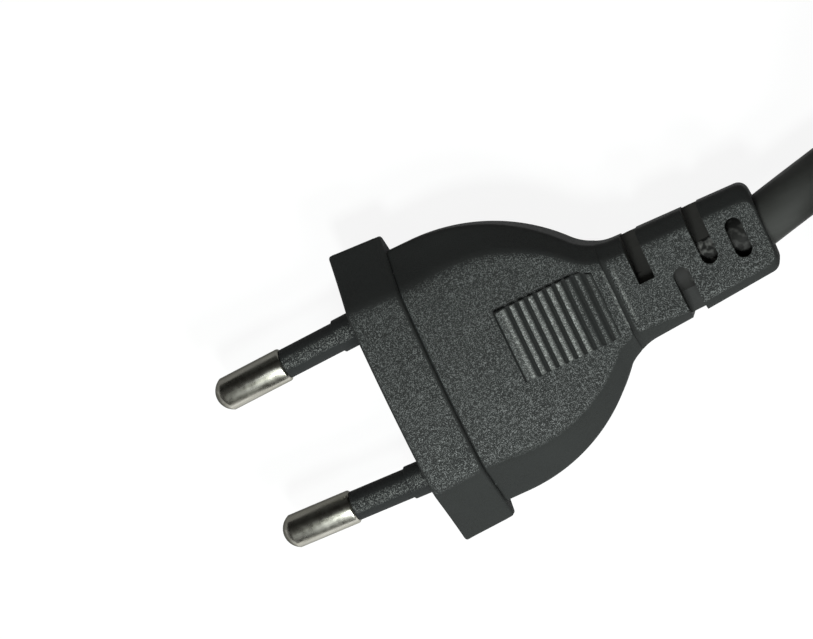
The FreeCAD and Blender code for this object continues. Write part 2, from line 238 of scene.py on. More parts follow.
def rounded_profile(corners: Sequence[Point3]) -> list[Point2]:
    """Half profile with rounded corners.

    Args:
        corners: (x, radius of the profile, rounding) for each corner; the ends aren't rounded.

    Returns:
        Points of the profile.
    """
    flat = [(x, radius) for x, radius, _ in corners]
    profile = [flat[0]]
    for index in range(1, len(corners) - 1):
        rounding = corners[index][2]
        if rounding:
            profile += rounded_step(flat[index], flat[index - 1], flat[index + 1], rounding)
        else:
            profile.append(flat[index])
    profile.append(flat[-1])
    return profile


def ease(value: float) -> float:
    """Smooth step from 0 to 1."""
    held = min(1.0, max(0.0, value))
    return held * held * (3 - 2 * held)


def share(value: float, start: float, end: float) -> float:
    """How far a value has come from start to end, from 0 to 1."""
    return min(1.0, max(0.0, (value - start) / (end - start)))


def inner_steps(start: float, end: float, steps: int) -> list[float]:
    """Evenly spaced values between start and end, without the two."""
    return [start + (end - start) * index / steps for index in range(1, steps)]


# Shader helpers


class Axis(Enum):
    """Axes of the part, with their numbers in a vector."""

    X = 0
    Y = 1
    Z = 2


class Tree:
    """Short hand for a shader node tree."""

    def __init__(self, tree: bpy.types.NodeTree) -> None:
        """Keep the tree that the calls below add to."""
        self.tree = tree

    def feed(self, socket: Socket, value: Feed) -> None:
        """Link a socket to another one, or set it to a constant.

        Args:
            socket: The input socket.
            value: Output socket or constant.
        """
        if isinstance(value, Socket):
            self.tree.links.new(value, socket)
        elif isinstance(value, tuple) and len(value) == 3 and socket.type == "RGBA":
            socket.default_value = (*value, 1.0)
        else:
            socket.default_value = value

    def node(self, kind: str, inputs: dict[Union[str, int], Feed], **settings: Setting) -> bpy.types.Node:
        """Add a node.

        Args:
            kind: Blender's name of the node type.
            inputs: Values or links by input name or number.
            **settings: Attributes of the node.

        Returns:
            The new node.
        """
        made = self.tree.nodes.new(kind)
        for key, value in settings.items():
            setattr(made, key, value)
        for key, value in inputs.items():
            self.feed(made.inputs[key], value)
        return made

    def math(self, operation: str, a: Feed, b: Feed = 0.0, clamp: bool = False) -> Socket:
        """Result of one arithmetic node."""
        return self.node("ShaderNodeMath", {0: a, 1: b}, operation=operation, use_clamp=clamp).outputs[0]

    def ramp(self, value: Feed, low: Feed, high: Feed) -> Socket:
        """Value stretched so that low becomes 0 and high becomes 1, and held between them."""
        inputs = {"Value": value, "From Min": low, "From Max": high}
        return self.node("ShaderNodeMapRange", inputs, clamp=True).outputs[0]

    def between(self, value: Feed, low: float, high: float) -> Socket:
        """Value from 0 to 1 spread over low to high."""
        inputs = {"Value": value, "To Min": low, "To Max": high}
        return self.node("ShaderNodeMapRange", inputs, clamp=True).outputs[0]

    def mix(self, mask: Feed, a: Feed, b: Feed) -> Socket:
        """Blend of two colours."""
        return self.node("ShaderNodeMix", {0: mask, 6: a, 7: b}, data_type="RGBA").outputs[2]

    def noise(self, place: Feed, scale: Feed, detail: float = 2.0, rough: float = 0.5) -> Socket:
        """Cloudy value from 0 to 1."""
        inputs = {"Vector": place, "Scale": scale, "Detail": detail, "Roughness": rough}
        return self.node("ShaderNodeTexNoise", inputs).outputs[0]

    def place(self) -> Socket:
        """Place on the piece, in metres."""
        return self.node("ShaderNodeTexCoord", {}).outputs["Object"]

    def along(self, axis: Axis) -> Socket:
        """Place on the piece along one axis, in metres."""
        return self.node("ShaderNodeSeparateXYZ", {0: self.place()}).outputs[axis.value]

    def facing(self, axis: Axis) -> Socket:
        """How far the surface faces along one axis of the part, from -1 to 1."""
        normal = self.node("ShaderNodeNewGeometry", {}).outputs["Normal"]
        return self.node("ShaderNodeSeparateXYZ", {0: normal}).outputs[axis.value]

    def bump(self, height: Feed, depth: float) -> Socket:
        """Normal of a surface whose height spans depth, in metres."""
        inputs = {"Height": height, "Distance": depth, "Strength": 1.0}
        return self.node("ShaderNodeBump", inputs).outputs[0]


class Effect(Enum):
    """Effects that several finishes share, each one node group."""

    SPARK_GRAIN = "spark_grain"
    SOFT_MOTTLE = "soft_mottle"
    # Painted highlight on rib crests, the neck lip and the ramp's edge
    HIGHLIGHT_PATCHES = "highlight_patches"
    DRAWN_LINES = "drawn_lines"


class EffectLibrary:
    """Builds each shared effect once and places it in materials."""

    COARSE_SCALE = 0.37
    COARSE_SHARE = 0.25
    LYING_FROM = 0.88
    LYING_FULL = 0.96
    CLOUD_SPAN = (0.35, 0.65)
    PATCH_SPAN = (0.3, 0.6)
    STREAK_SCALE = 0.3

    def __init__(self) -> None:
        """Start with no groups."""
        self.groups: dict[Effect, bpy.types.NodeTree] = {}

    def group(self, effect: Effect) -> bpy.types.NodeTree:
        """The node group of an effect, built the first time it is asked for.

        Args:
            effect: Which effect.

        Returns:
            The group.
        """
        if effect not in self.groups:
            makers = {
                Effect.SPARK_GRAIN: self.spark_grain,
                Effect.SOFT_MOTTLE: self.soft_mottle,
                Effect.HIGHLIGHT_PATCHES: self.highlight_patches,
                Effect.DRAWN_LINES: self.drawn_lines,
            }
            self.groups[effect] = makers[effect]()
        return self.groups[effect]

    def use(self, tree: Tree, effect: Effect, **values: float) -> dict[str, Socket]:
        """Place an effect in a material.

        Args:
            tree: The material's tree.
            effect: Which effect.
            **values: Its inputs, by name in lower case.

        Returns:
            The group's outputs by name.
        """
        node = tree.node("ShaderNodeGroup", {}, node_tree=self.group(effect))
        for socket in node.inputs:
            if socket.name.lower() in values:
                socket.default_value = values[socket.name.lower()]
        return {socket.name: socket for socket in node.outputs}

    @staticmethod
    def start(name: str, inputs: dict[str, float], outputs: Sequence[str]) -> tuple[Tree, dict[str, Socket]]:
        """Begin a group with number sockets.

        Args:
            name: Name of the group.
            inputs: Input names with their usual values.
            outputs: Output names.

        Returns:
            The group's tree and its input sockets by name.
        """
        group = bpy.data.node_groups.new(name, "ShaderNodeTree")
        for label, value in inputs.items():
            socket = group.interface.new_socket(label, in_out="INPUT", socket_type="NodeSocketFloat")
            socket.default_value = value
        for label in outputs:
            group.interface.new_socket(label, in_out="OUTPUT", socket_type="NodeSocketFloat")
        tree = Tree(group)
        entry = tree.node("NodeGroupInput", {})
        return tree, {label: entry.outputs[label] for label in inputs}

    @staticmethod
    def end(tree: Tree, results: dict[str, Socket]) -> bpy.types.NodeTree:
        """Finish a group with its results by output name."""
        tree.node("NodeGroupOutput", dict(results))
        return tree.tree

    def spark_grain(self) -> bpy.types.NodeTree:
        """Pitted skin of a spark-eroded mould, with painted glints on its crests where the face lies flat.

        Returns:
            The group.
        """
        inputs = {"Scale": 3000.0, "From": 0.49, "To": 0.66}
        tree, given = self.start("spark_grain", inputs, ("Height", "Crest", "Speck"))
        place = tree.place()
        fine = tree.noise(place, given["Scale"], 1.0, 0.6)
        coarse = tree.noise(place, tree.math("MULTIPLY", given["Scale"], self.COARSE_SCALE), 1.0)
        fine_part = tree.math("MULTIPLY", fine, 1 - self.COARSE_SHARE)
        coarse_part = tree.math("MULTIPLY", coarse, self.COARSE_SHARE)
        height = tree.math("ADD", fine_part, coarse_part)
        speck = tree.ramp(height, given["From"], given["To"])
        # Painted glints: only faces that lie flat, facing up or down, get pale crests
        upright = tree.math("ABSOLUTE", tree.facing(Axis.Z))
        crest = tree.math("MULTIPLY", speck, tree.ramp(upright, self.LYING_FROM, self.LYING_FULL))
        return self.end(tree, {"Height": height, "Crest": crest, "Speck": speck})

    def soft_mottle(self) -> bpy.types.NodeTree:
        """Slow change over a surface, as from flow in a mould or from handling.

        Returns:
            The group.
        """
        tree, given = self.start("soft_mottle", {"Scale": 150.0}, ("Mask",))
        cloud = tree.noise(tree.place(), given["Scale"], 3.0, 0.55)
        return self.end(tree, {"Mask": tree.ramp(cloud, *self.CLOUD_SPAN)})

    def highlight_patches(self) -> bpy.types.NodeTree:
        """Painted highlight on rib crests, the neck lip and the ramp's edge, broken up along their length.

        Returns:
            The group.
        """
        tree, given = self.start("highlight_patches", {"Break": 900.0, "Least": 0.85}, ("Mask",))
        patches = tree.ramp(tree.noise(tree.place(), given["Break"]), *self.PATCH_SPAN)
        share_left = tree.math("MAXIMUM", patches, given["Least"])
        handled = tree.node("ShaderNodeAttribute", {}, attribute_name=HIGHLIGHT_ATTRIBUTE).outputs["Fac"]
        return self.end(tree, {"Mask": tree.math("MULTIPLY", handled, share_left)})

    def drawn_lines(self) -> bpy.types.NodeTree:
        """Fine lines along X from drawing or turning, with a height and a slow streak.

        Returns:
            The group.
        """
        tree, given = self.start("drawn_lines", {"Scale": 4000.0, "Stretch": 0.04}, ("Height", "Streak"))
        axes = tree.node("ShaderNodeSeparateXYZ", {0: tree.place()}).outputs
        along = tree.math("MULTIPLY", axes[0], given["Stretch"])
        place = tree.node("ShaderNodeCombineXYZ", {0: along, 1: axes[1], 2: axes[2]}).outputs[0]
        height = tree.noise(place, given["Scale"], 2.0, 0.6)
        streak = tree.noise(place, tree.math("MULTIPLY", given["Scale"], self.STREAK_SCALE))
        return self.end(tree, {"Height": height, "Streak": tree.ramp(streak, *self.CLOUD_SPAN)})


EFFECTS = EffectLibrary()


@dataclass(frozen=True)
class Finish:
    """A named surface finish with the record's material slot that it belongs to."""

    name: str
    slot: str

    def material(self) -> bpy.types.Material:
        """The finish's material, built the first time it is asked for.

        Returns:
            The material.
        """
        known = bpy.data.materials.get(self.name)
        if known:
            return known
        made = bpy.data.materials.new(self.name)
        made.use_nodes = True
        tree = Tree(made.node_tree)
        shader = made.node_tree.nodes["Principled BSDF"]
        self.build(tree, shader)
        return made

    def build(self, tree: Tree, shader: bpy.types.Node) -> None:
        """Connect the finish's nodes to its shader."""
        raise NotImplementedError

    def dress(self, piece: bpy.types.Object) -> None:
        """Give a piece this finish alone.

        Args:
            piece: The piece.
        """
        piece.data.materials.clear()
        piece.data.materials.append(self.material())


@dataclass(frozen=True)
class GrainedVinyl(Finish):
    """Soft black vinyl with a spark-eroded grain, painted glints and a painted highlight."""

    pit: Colour = (0.020, 0.021, 0.020)
    skin: Colour = (0.027, 0.029, 0.028)
    # Painted glint on the grain's crests where the face lies flat
    crest: Colour = (0.150, 0.159, 0.155)
    # Painted highlight colours, paler on the grain's specks, and how much of them shows
    rub: Colour = (0.150, 0.156, 0.149)
    highlight_peak: Colour = (0.62, 0.64, 0.615)
    highlight_share: float = 0.8
    grain_scale: float = 8200.0
    grain_depth: float = 0.00006
    pit_until: float = 0.38
    skin_from: float = 0.56
    mottle_scale: float = 160.0
    roughness: float = 0.27
    slope_roughness: float = 0.88
    specular: float = 0.32

    def build(self, tree: Tree, shader: bpy.types.Node) -> None:
        """Grain in height, colour and gloss, slow mottle, painted glints on flat crests and a painted
        highlight.

        Args:
            tree: The material's tree.
            shader: Its Principled BSDF node.
        """
        grain = EFFECTS.use(tree, Effect.SPARK_GRAIN, scale=self.grain_scale)
        mottle = EFFECTS.use(tree, Effect.SOFT_MOTTLE, scale=self.mottle_scale)["Mask"]
        # Mask of the painted highlight
        edge = EFFECTS.use(tree, Effect.HIGHLIGHT_PATCHES)["Mask"]
        low = tree.mix(mottle, self.pit, self.skin)
        ground = tree.mix(tree.ramp(grain["Height"], self.pit_until, self.skin_from), low, self.skin)
        lit = tree.mix(grain["Crest"], ground, self.crest)
        highlight_colour = tree.mix(grain["Speck"], self.rub, self.highlight_peak)
        highlight_mask = tree.math("MULTIPLY", edge, self.highlight_share)
        tree.feed(shader.inputs["Base Color"], tree.mix(highlight_mask, lit, highlight_colour))
        rough = tree.between(grain["Crest"], self.slope_roughness, self.roughness)
        tree.feed(shader.inputs["Roughness"], rough)
        shader.inputs["Specular IOR Level"].default_value = self.specular
        tree.feed(shader.inputs["Normal"], tree.bump(grain["Height"], self.grain_depth))


@dataclass(frozen=True)
class SmoothVinyl(Finish):
    """Extruded or moulded vinyl with a satin skin and fine lengthwise lines."""

    base: Colour = (0.046, 0.047, 0.044)
    pale: Colour = (0.058, 0.059, 0.056)
    smoothest: float = 0.57
    roughest: float = 0.69
    specular: float = 0.12
    line_depth: float = 0.00001
    line_scale: float = 2600.0
    line_stretch: float = 0.12
    mottle_scale: float = 320.0

    def build(self, tree: Tree, shader: bpy.types.Node) -> None:
        """Satin colour with streaks, mottled gloss and a shallow bump.

        Args:
            tree: The material's tree.
            shader: Its Principled BSDF node.
        """
        lines = EFFECTS.use(tree, Effect.DRAWN_LINES, scale=self.line_scale, stretch=self.line_stretch)
        mottle = EFFECTS.use(tree, Effect.SOFT_MOTTLE, scale=self.mottle_scale)["Mask"]
        mask = tree.math("MULTIPLY", lines["Streak"], mottle)
        tree.feed(shader.inputs["Base Color"], tree.mix(mask, self.base, self.pale))
        tree.feed(shader.inputs["Roughness"], tree.between(mottle, self.smoothest, self.roughest))
        shader.inputs["Specular IOR Level"].default_value = self.specular
        tree.feed(shader.inputs["Normal"], tree.bump(lines["Height"], self.line_depth))


@dataclass(frozen=True)
class WrinkledVinyl(Finish):
    """Black vinyl that moulding drew into shiny wrinkles, placed along the plug in metres; painted shade and
    glints.
    """

    # Painted shade: darker than the sheath outside; the folds' colour is a painted glint on the wrinkles'
    # crests
    base: Colour = (0.022, 0.022, 0.021)
    fold: Colour = (0.22, 0.22, 0.21)
    wrinkle_scale: float = 1300.0
    wrinkle_depth: float = 0.00025
    # Where the painted glints start, and where they fade
    smooth_until: float = 0.0225
    wrinkled_from: float = 0.0240
    eased_from: float = 0.0272
    eased_by: float = 0.0282
    eased_share: float = 0.25
    roughness: float = 0.62
    fold_roughness: float = 0.35
    specular: float = 0.15

    def build(self, tree: Tree, shader: bpy.types.Node) -> None:
        """Skin darkened as painted shade, with soft folds whose crests carry painted glints, gathered
        towards the exit.

        Args:
            tree: The material's tree.
            shader: Its Principled BSDF node.
        """
        folds = EFFECTS.use(tree, Effect.SPARK_GRAIN, scale=self.wrinkle_scale)
        along = tree.along(Axis.X)
        gathered = tree.ramp(along, self.smooth_until, self.wrinkled_from)
        eased = tree.between(tree.ramp(along, self.eased_from, self.eased_by), 1.0, self.eased_share)
        gathered = tree.math("MULTIPLY", gathered, eased)
        # Painted glints on the folds' crests
        crest = tree.math("MULTIPLY", folds["Speck"], gathered)
        tree.feed(shader.inputs["Base Color"], tree.mix(crest, self.base, self.fold))
        tree.feed(shader.inputs["Roughness"], tree.between(crest, self.roughness, self.fold_roughness))
        shader.inputs["Specular IOR Level"].default_value = self.specular
        height = tree.math("MULTIPLY", folds["Height"], gathered)
        tree.feed(shader.inputs["Normal"], tree.bump(height, self.wrinkle_depth))


@dataclass(frozen=True)
class PlatedMetal(Finish):
    """Drawn or turned metal with fine lines along its length."""

    bright: Colour = (0.66, 0.645, 0.585)
    dull: Colour = (0.46, 0.45, 0.385)
    # Painted shade on the +Y flank and at the tip, for the dark surroundings that they reflect, and where it
    # starts and is full
    painted_shade: Colour = (0.11, 0.108, 0.094)
    rim_tint: float = 0.35
    painted_shade_share: float = 0.0
    flank_from: float = 0.0
    flank_full: float = 0.4
    tip_from: float = -0.35
    tip_full: float = -0.75
    smoothest: float = 0.23
    roughest: float = 0.36
    line_depth: float = 0.000006
    line_scale: float = 5200.0
    line_stretch: float = 0.05
    mottle_scale: float = 900.0

    def build(self, tree: Tree, shader: bpy.types.Node) -> None:
        """Metal with streaked colour and gloss, and painted shade on one flank and at the tip.

        Args:
            tree: The material's tree.
            shader: Its Principled BSDF node.
        """
        lines = EFFECTS.use(tree, Effect.DRAWN_LINES, scale=self.line_scale, stretch=self.line_stretch)
        mottle = EFFECTS.use(tree, Effect.SOFT_MOTTLE, scale=self.mottle_scale)["Mask"]
        shader.inputs["Metallic"].default_value = 1.0
        clean = tree.mix(lines["Streak"], self.bright, self.dull)
        # Painted shade on faces that look to +Y and on the tip
        flank = tree.ramp(tree.facing(Axis.Y), self.flank_from, self.flank_full)
        tip = tree.ramp(tree.facing(Axis.X), self.tip_from, self.tip_full)
        painted_shade_mask = tree.math("MULTIPLY", tree.math("MAXIMUM", flank, tip), self.painted_shade_share)
        tree.feed(shader.inputs["Base Color"], tree.mix(painted_shade_mask, clean, self.painted_shade))
        shader.inputs["Specular Tint"].default_value = (self.rim_tint, self.rim_tint, self.rim_tint, 1.0)
        tree.feed(shader.inputs["Roughness"], tree.between(mottle, self.smoothest, self.roughest))
        tree.feed(shader.inputs["Normal"], tree.bump(lines["Height"], self.line_depth))


@dataclass(frozen=True)
class WovenStrip(Finish):
    """Black woven strip with a fine ribbed face."""

    base: Colour = (0.022, 0.022, 0.024)
    rib: Colour = (0.050, 0.050, 0.053)
    rib_scale: float = 700.0
    rib_waver: float = 0.6
    rib_share: float = 0.7
    fibre_scale: float = 5200.0
    roughness: float = 0.85
    fibre_roughness: float = 0.65
    depth: float = 0.00012

    def build(self, tree: Tree, shader: bpy.types.Node) -> None:
        """Ribs across the strip, broken up by a fibre grain.

        Args:
            tree: The material's tree.
            shader: Its Principled BSDF node.
        """
        grain = EFFECTS.use(tree, Effect.SPARK_GRAIN, scale=self.fibre_scale)
        wave = {"Vector": tree.place(), "Scale": self.rib_scale, "Distortion": self.rib_waver, "Detail": 1.0}
        ribs = tree.node("ShaderNodeTexWave", wave, bands_direction="X").outputs[1]
        rib_part = tree.math("MULTIPLY", ribs, self.rib_share)
        fibre_part = tree.math("MULTIPLY", grain["Height"], 1 - self.rib_share)
        height = tree.math("ADD", rib_part, fibre_part)
        tree.feed(shader.inputs["Base Color"], tree.mix(height, self.base, self.rib))
        rough = tree.between(grain["Speck"], self.roughness, self.fibre_roughness)
        tree.feed(shader.inputs["Roughness"], rough)
        tree.feed(shader.inputs["Normal"], tree.bump(height, self.depth))


class Finishes:
    """Every finish of the plug and its lead."""

    MOULDING = GrainedVinyl("moulding_grained", "moulding")
    # The sleeves' paler crest colour is a stronger painted glint
    SLEEVE = GrainedVinyl(
        "sleeve_satin", "sleeve", pit=(0.014, 0.015, 0.015), skin=(0.024, 0.026, 0.026),
        crest=(0.20, 0.21, 0.20),
    )
    # Copies of the slot vinyl, each with its colour set for how light falls in its slots: one for the slots
    # in shade, one for the lit web of the second slot
    SHADED_SLOT_WALL = SmoothVinyl(
        "slot_wall_shade_copy", "moulding", base=(0.048, 0.047, 0.044), pale=(0.054, 0.053, 0.050),
    )
    LIT_SLOT_WEB = SmoothVinyl(
        "slot_web_lit_copy", "moulding", base=(0.042, 0.043, 0.042), pale=(0.052, 0.053, 0.052),
    )
    INSERT = GrainedVinyl("insert_matt", "insert", skin=(0.08, 0.08, 0.08), roughness=0.6)
    SHEATH = SmoothVinyl("sheath_satin", "sheath")
    # The cord inside the strain relief, seen through the slots: painted shade and painted glints
    SHADED_GRIPPED_SHEATH = WrinkledVinyl("sheath_shade_and_glints", "sheath")
    # The pins carry painted shade on their +Y flank and tip
    NICKEL = PlatedMetal("nickel_satin", "nickel", painted_shade_share=0.9)
    COPPER = PlatedMetal("copper_strands", "copper", bright=(0.70, 0.36, 0.20), dull=(0.55, 0.25, 0.13))
    TIN = PlatedMetal(
        "tinned_strands", "tin", bright=(0.50, 0.50, 0.48), dull=(0.36, 0.36, 0.345),
        smoothest=0.35, roughest=0.48,
    )
    BROWN = SmoothVinyl(
        "brown_insulation", "brown_insulation", base=(0.10, 0.036, 0.016), pale=(0.14, 0.055, 0.026),
    )
    BLUE = SmoothVinyl(
        "blue_insulation", "blue_insulation", base=(0.018, 0.12, 0.44), pale=(0.03, 0.16, 0.52),
    )
    STRIP = WovenStrip("tie_strip", "tie")


def add_piece(piece: bpy.types.Object, finish: Finish, *nodes: str) -> bpy.types.Object:
    """Dress a piece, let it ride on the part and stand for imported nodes.

    Args:
        piece: The new piece, in place.
        finish: Its finish.
        *nodes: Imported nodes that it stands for.

    Returns:
        The piece.
    """
    finish.dress(piece)
    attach(piece, ROOT)
    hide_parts(*nodes)
    LOG.info("%s stands for %s", piece.name, ", ".join(nodes))
    return piece


# Moulded body


@dataclass(frozen=True)
class Octagon:
    """Section of the moulding: flat top, sloped sides, small flat ends, with rounded corners."""

    # Most of the flat top that the rib panel may take
    PANEL_SHARE = 0.94
    # Parts that the outline's stretches are divided into
    TOP_STEPS = 6
    BEND_STEPS = 8
    SLOPE_STEPS = 4
    CORNER_STEPS = 6
    SIDE_STEPS = 3

    width: float
    height: float
    slope_width: float
    bend: float
    end_round: float
    slope_rise: float = 0.85
    crown: float = 0.0
    skew: float = 0.0

    def inset(self, aside: float, down: float) -> "Octagon":
        """The same section drawn in from its sides and from its broad faces."""
        return replace(self, width=self.width - 2 * aside, height=self.height - 2 * down)

    def quarter(self, columns: Sequence[float], sign: int) -> list[Point2]:
        """Outline from the middle of the top to the middle of one side.

        Args:
            columns: Wanted distances of the first points from the middle of the top.
            sign: 1 for the +Y side, -1 for the other, whose slope is narrower by the skew.

        Returns:
            Points as (distance from the middle, z), the same number for each section.
        """
        half = self.width / 2
        top = self.height / 2
        slope = self.slope_width - (self.skew if sign < 0 else 0.0)
        flat = (half - slope, top)
        end = (half, top - slope * self.slope_rise)
        bend = rounded_step(flat, (0.0, top), end, self.bend, self.BEND_STEPS)
        corner = rounded_step(end, flat, (half, 0.0), self.end_round, self.CORNER_STEPS)
        room = bend[0][0]
        fit = min(1.0, self.PANEL_SHARE * room / columns[-1])
        ys = [column * fit for column in columns]
        ys += inner_steps(ys[-1], room, self.TOP_STEPS)
        outline = [(y, top) for y in ys] + bend
        for part in inner_steps(0.0, 1.0, self.SLOPE_STEPS):
            outline.append(tuple(Vector(bend[-1]).lerp(Vector(corner[0]), part)))
        outline += corner
        outline += [(half, z) for z in inner_steps(corner[-1][1], 0.0, self.SIDE_STEPS)]
        outline.append((half, 0.0))
        return [(y, z - self.crown * (y / half) ** 2 * z / top) for y, z in outline]


@dataclass(frozen=True)
class Station:
    """One ring of the body.

    Attributes:
        x: Its place along the plug.
        section: Its section.
        rib: Height of its rib, as a share of the full height.
        handled: How much painted highlight its rib carries.
        moat: Depth of the line beside the rib panel, as a share of the full depth.
    """

    x: float
    section: Octagon
    rib: float = 0.0
    handled: float = 0.0
    moat: float = 0.0


@dataclass(frozen=True)
class Slot:
    """One slot of the strain relief.

    Attributes:
        low: Lower end across the plug.
        high: Upper end across the plug.
        round_low: Whether the lower end is round.
        round_high: Whether the upper end is round.
        finish: Finish of its walls, the copy of the slot vinyl for how light falls in it.
        floored: Whether the slanted web is its floor from end to end.
    """

    low: float
    high: float
    round_low: bool
    round_high: bool
    finish: Finish
    floored: bool = False


@dataclass
class MouldedBody:
    """Flange, grip with ribs, neck and slotted strain relief, moulded in one piece."""

    # Parts that the stretches along the plug are divided into
    RIM_STEPS = 5
    FLANGE_STEPS = 8
    GROOVE_STEPS = 6
    GRIP_STEPS = 20
    NECK_STEPS = 4
    LIP_STEPS = 4
    RAMP_STEPS = 8
    RELIEF_STEPS = 36
    END_STEPS = 12
    SLOT_ROUND_STEPS = 16
    # Steps of the ramp whose rounded edge carries a painted highlight
    RAMP_HIGHLIGHT_STEPS = (5, 6)
    # Rise of a rib along the plug: share of its flank, share of its height
    RIB_EASING = ((0.0, 0.0), (0.1, 0.42), (0.3, 0.70), (0.6, 0.88), (1.0, 1.0))
    # Points across half of a rib's top, as shares of its half span
    TOP_COLUMNS = (0.0, 0.2, 0.4, 0.58, 0.74, 0.86, 0.93)
    # End of a rib: share of its flank that is left, share of its height
    END_SHAPE = ((1.0, 1.0), (0.6, 0.91), (0.3, 0.68), (0.1, 0.36), (0.0, 0.0))

    place: PlugFrame
    flange_width_front: float = 35.8
    flange_width_rear: float = 35.1
    flange_height: float = 13.7
    flange_depth: float = 6.4
    flange_slope_width: float = 6.7
    flange_end_round: float = 0.5
    rim_round: float = 0.38
    root_groove_width: float = 0.17
    root_groove_depth: float = 0.10
    crown: float = 1.8
    grip_width: float = 31.3
    grip_height: float = 12.0
    rounding_start: float = 9.0
    rounding_radius: float = 21.8
    grip_slope_width: float = 4.7
    grip_end_round: float = 1.1
    crown_start: float = 12.0
    neck_x: float = 28.0
    neck_height: float = 10.2
    neck_slope_width: float = 2.0
    neck_fillet: float = 6.0
    neck_step: float = 0.35
    neck_lip: float = 0.14
    neck_gap: float = 0.002
    ramp_length: float = 0.9
    ramp_reach: float = 1.4
    bend: float = 3.0
    neck_bend: float = 1.3
    body_length: float = 45.82
    relief_width_front: float = 12.2
    relief_width_end: float = 10.3
    relief_height_front: float = 8.8
    relief_height_end: float = 8.0
    relief_slope_width: float = 1.9
    relief_bend: float = 1.6
    relief_end_round: float = 1.2
    relief_rim: float = 0.3
    relief_sway: float = 0.5
    relief_skew: float = 0.9
    relief_skew_length: float = 6.0
    rib_land_start: float = 15.15
    rib_land_length: float = 1.4
    rib_count: int = 9
    rib_pitch: float = 1.13
    rib_width: float = 0.72
    rib_half_span: float = 4.3
    rib_shift: float = 0.3
    rib_height: float = 0.42
    rib_flank: float = 0.26
    rib_rise: float = 0.12
    rib_fall: float = 0.42
    rib_fading: int = 3
    rib_faded_height: float = 0.7
    # Painted highlight on the ribs' crests, weaker on the last ribs, and how tightly it keeps to the crests
    rib_highlight: float = 1.0
    faded_rib_highlight: float = 0.15
    rib_highlight_focus: float = 2.5
    moat_depth: float = 0.17
    moat_width: float = 0.12
    ribs_past_moat: int = 2
    # Painted highlight on the land
    land_highlight: float = 0.2
    land_line: float = 0.11
    land_line_depth: float = 0.4
    land_edge: float = 0.75
    # Painted highlight on the neck lip and on the ramp's rounded edge
    lip_highlight: float = 0.6
    ramp_highlight: float = 0.5
    groove: float = -0.4
    slot_first_x: float = 31.8
    slot_pitch: float = 3.67
    slot_width: float = 1.9
    slot_square_inner_y: float = 0.3
    slot_lower_inner_y: float = 0.0
    slot_upper_inner_y: float = -1.25
    slot_window_length: float = 4.6
    slot_overlap: float = 0.05
    web_thickness: float = 3.0
    web_set_in: float = 0.4
    web_rest_radius: float = 2.9
    crease: float = 38.0

    def grip_half_width(self, x: float) -> float:
        """Plan of the grip: straight, then an arc, then the hollow that runs into the strain relief.

        Args:
            x: Place along the plug.

        Returns:
            Half the width there.
        """
        arc_y = self.grip_width / 2 - self.rounding_radius
        hollow_y = self.relief_width_front / 2 + self.neck_fillet
        reach = self.rounding_radius + self.neck_fillet
        run = math.sqrt(reach ** 2 - (hollow_y - arc_y) ** 2)
        hollow_x = self.rounding_start + run
        meeting = self.rounding_start + run * self.rounding_radius / reach
        if x <= self.rounding_start:
            return self.grip_width / 2
        if x <= meeting:
            return arc_y + math.sqrt(self.rounding_radius ** 2 - (x - self.rounding_start) ** 2)
        if x <= hollow_x:
            return hollow_y - math.sqrt(self.neck_fillet ** 2 - (hollow_x - x) ** 2)
        return self.relief_width_front / 2

    def grip_section(self, x: float) -> Octagon:
        """Section of the grip at x.

        Args:
            x: Place along the plug.

        Returns:
            The section.
        """
        fall = share(x, self.crown_start, self.neck_x) ** 2
        height = self.grip_height - (self.grip_height - self.neck_height) * fall
        narrow = share(x, self.rounding_start, self.neck_x)
        slope = self.grip_slope_width + (self.neck_slope_width - self.grip_slope_width) * narrow
        bend = self.bend + (self.neck_bend - self.bend) * narrow ** 2
        crown = self.crown * (1 - narrow)
        return Octagon(2 * self.grip_half_width(x), height, slope, bend, self.grip_end_round, crown=crown)

    def flange_section(self, x: float) -> Octagon:
        """Section of the flange at x.

        Args:
            x: Place along the plug.

        Returns:
            The section.
        """
        taper = self.flange_width_rear - self.flange_width_front
        width = self.flange_width_front + taper * x / self.flange_depth
        slope = self.flange_slope_width
        return Octagon(width, self.flange_height, slope, self.bend, self.flange_end_round, crown=self.crown)

    def relief_section(self, x: float) -> Octagon:
        """Section of the strain relief at x, with the ramp that meets the neck.

        Args:
            x: Place along the plug.

        Returns:
            The section.
        """
        along = share(x, self.neck_x, self.body_length)
        width = self.relief_width_front + (self.relief_width_end - self.relief_width_front) * along
        height = self.relief_height_front + (self.relief_height_end - self.relief_height_front) * along
        ramp = max(0.0, 1 - (x - self.neck_x) / self.ramp_length) ** 2
        height += (self.neck_height - 2 * self.neck_step - height) * ramp
        hollow = 2 * self.grip_half_width(x) - self.relief_width_front
        skew = self.relief_skew * share(x, self.neck_x, self.neck_x + self.relief_skew_length)
        bend = self.relief_bend
        return Octagon(width + hollow, height, self.relief_slope_width, bend, bend, skew=skew)

    def sway(self, x: float) -> float:
        """How far the cord has pulled the soft strain relief aside at x."""
        return self.relief_sway * share(x, self.neck_x, self.body_length)

    def rib_spans(self) -> list[Point2]:
        """Start and end of the land and of each rib along the plug.

        Returns:
            The land's span, then the ribs' spans.
        """
        first = self.rib_land_start + self.rib_land_length + (self.rib_pitch - self.rib_width)
        spans = [(self.rib_land_start, self.rib_land_start + self.rib_land_length)]
        for index in range(self.rib_count):
            start = first + self.rib_pitch * index
            spans.append((start, start + self.rib_width))
        return spans

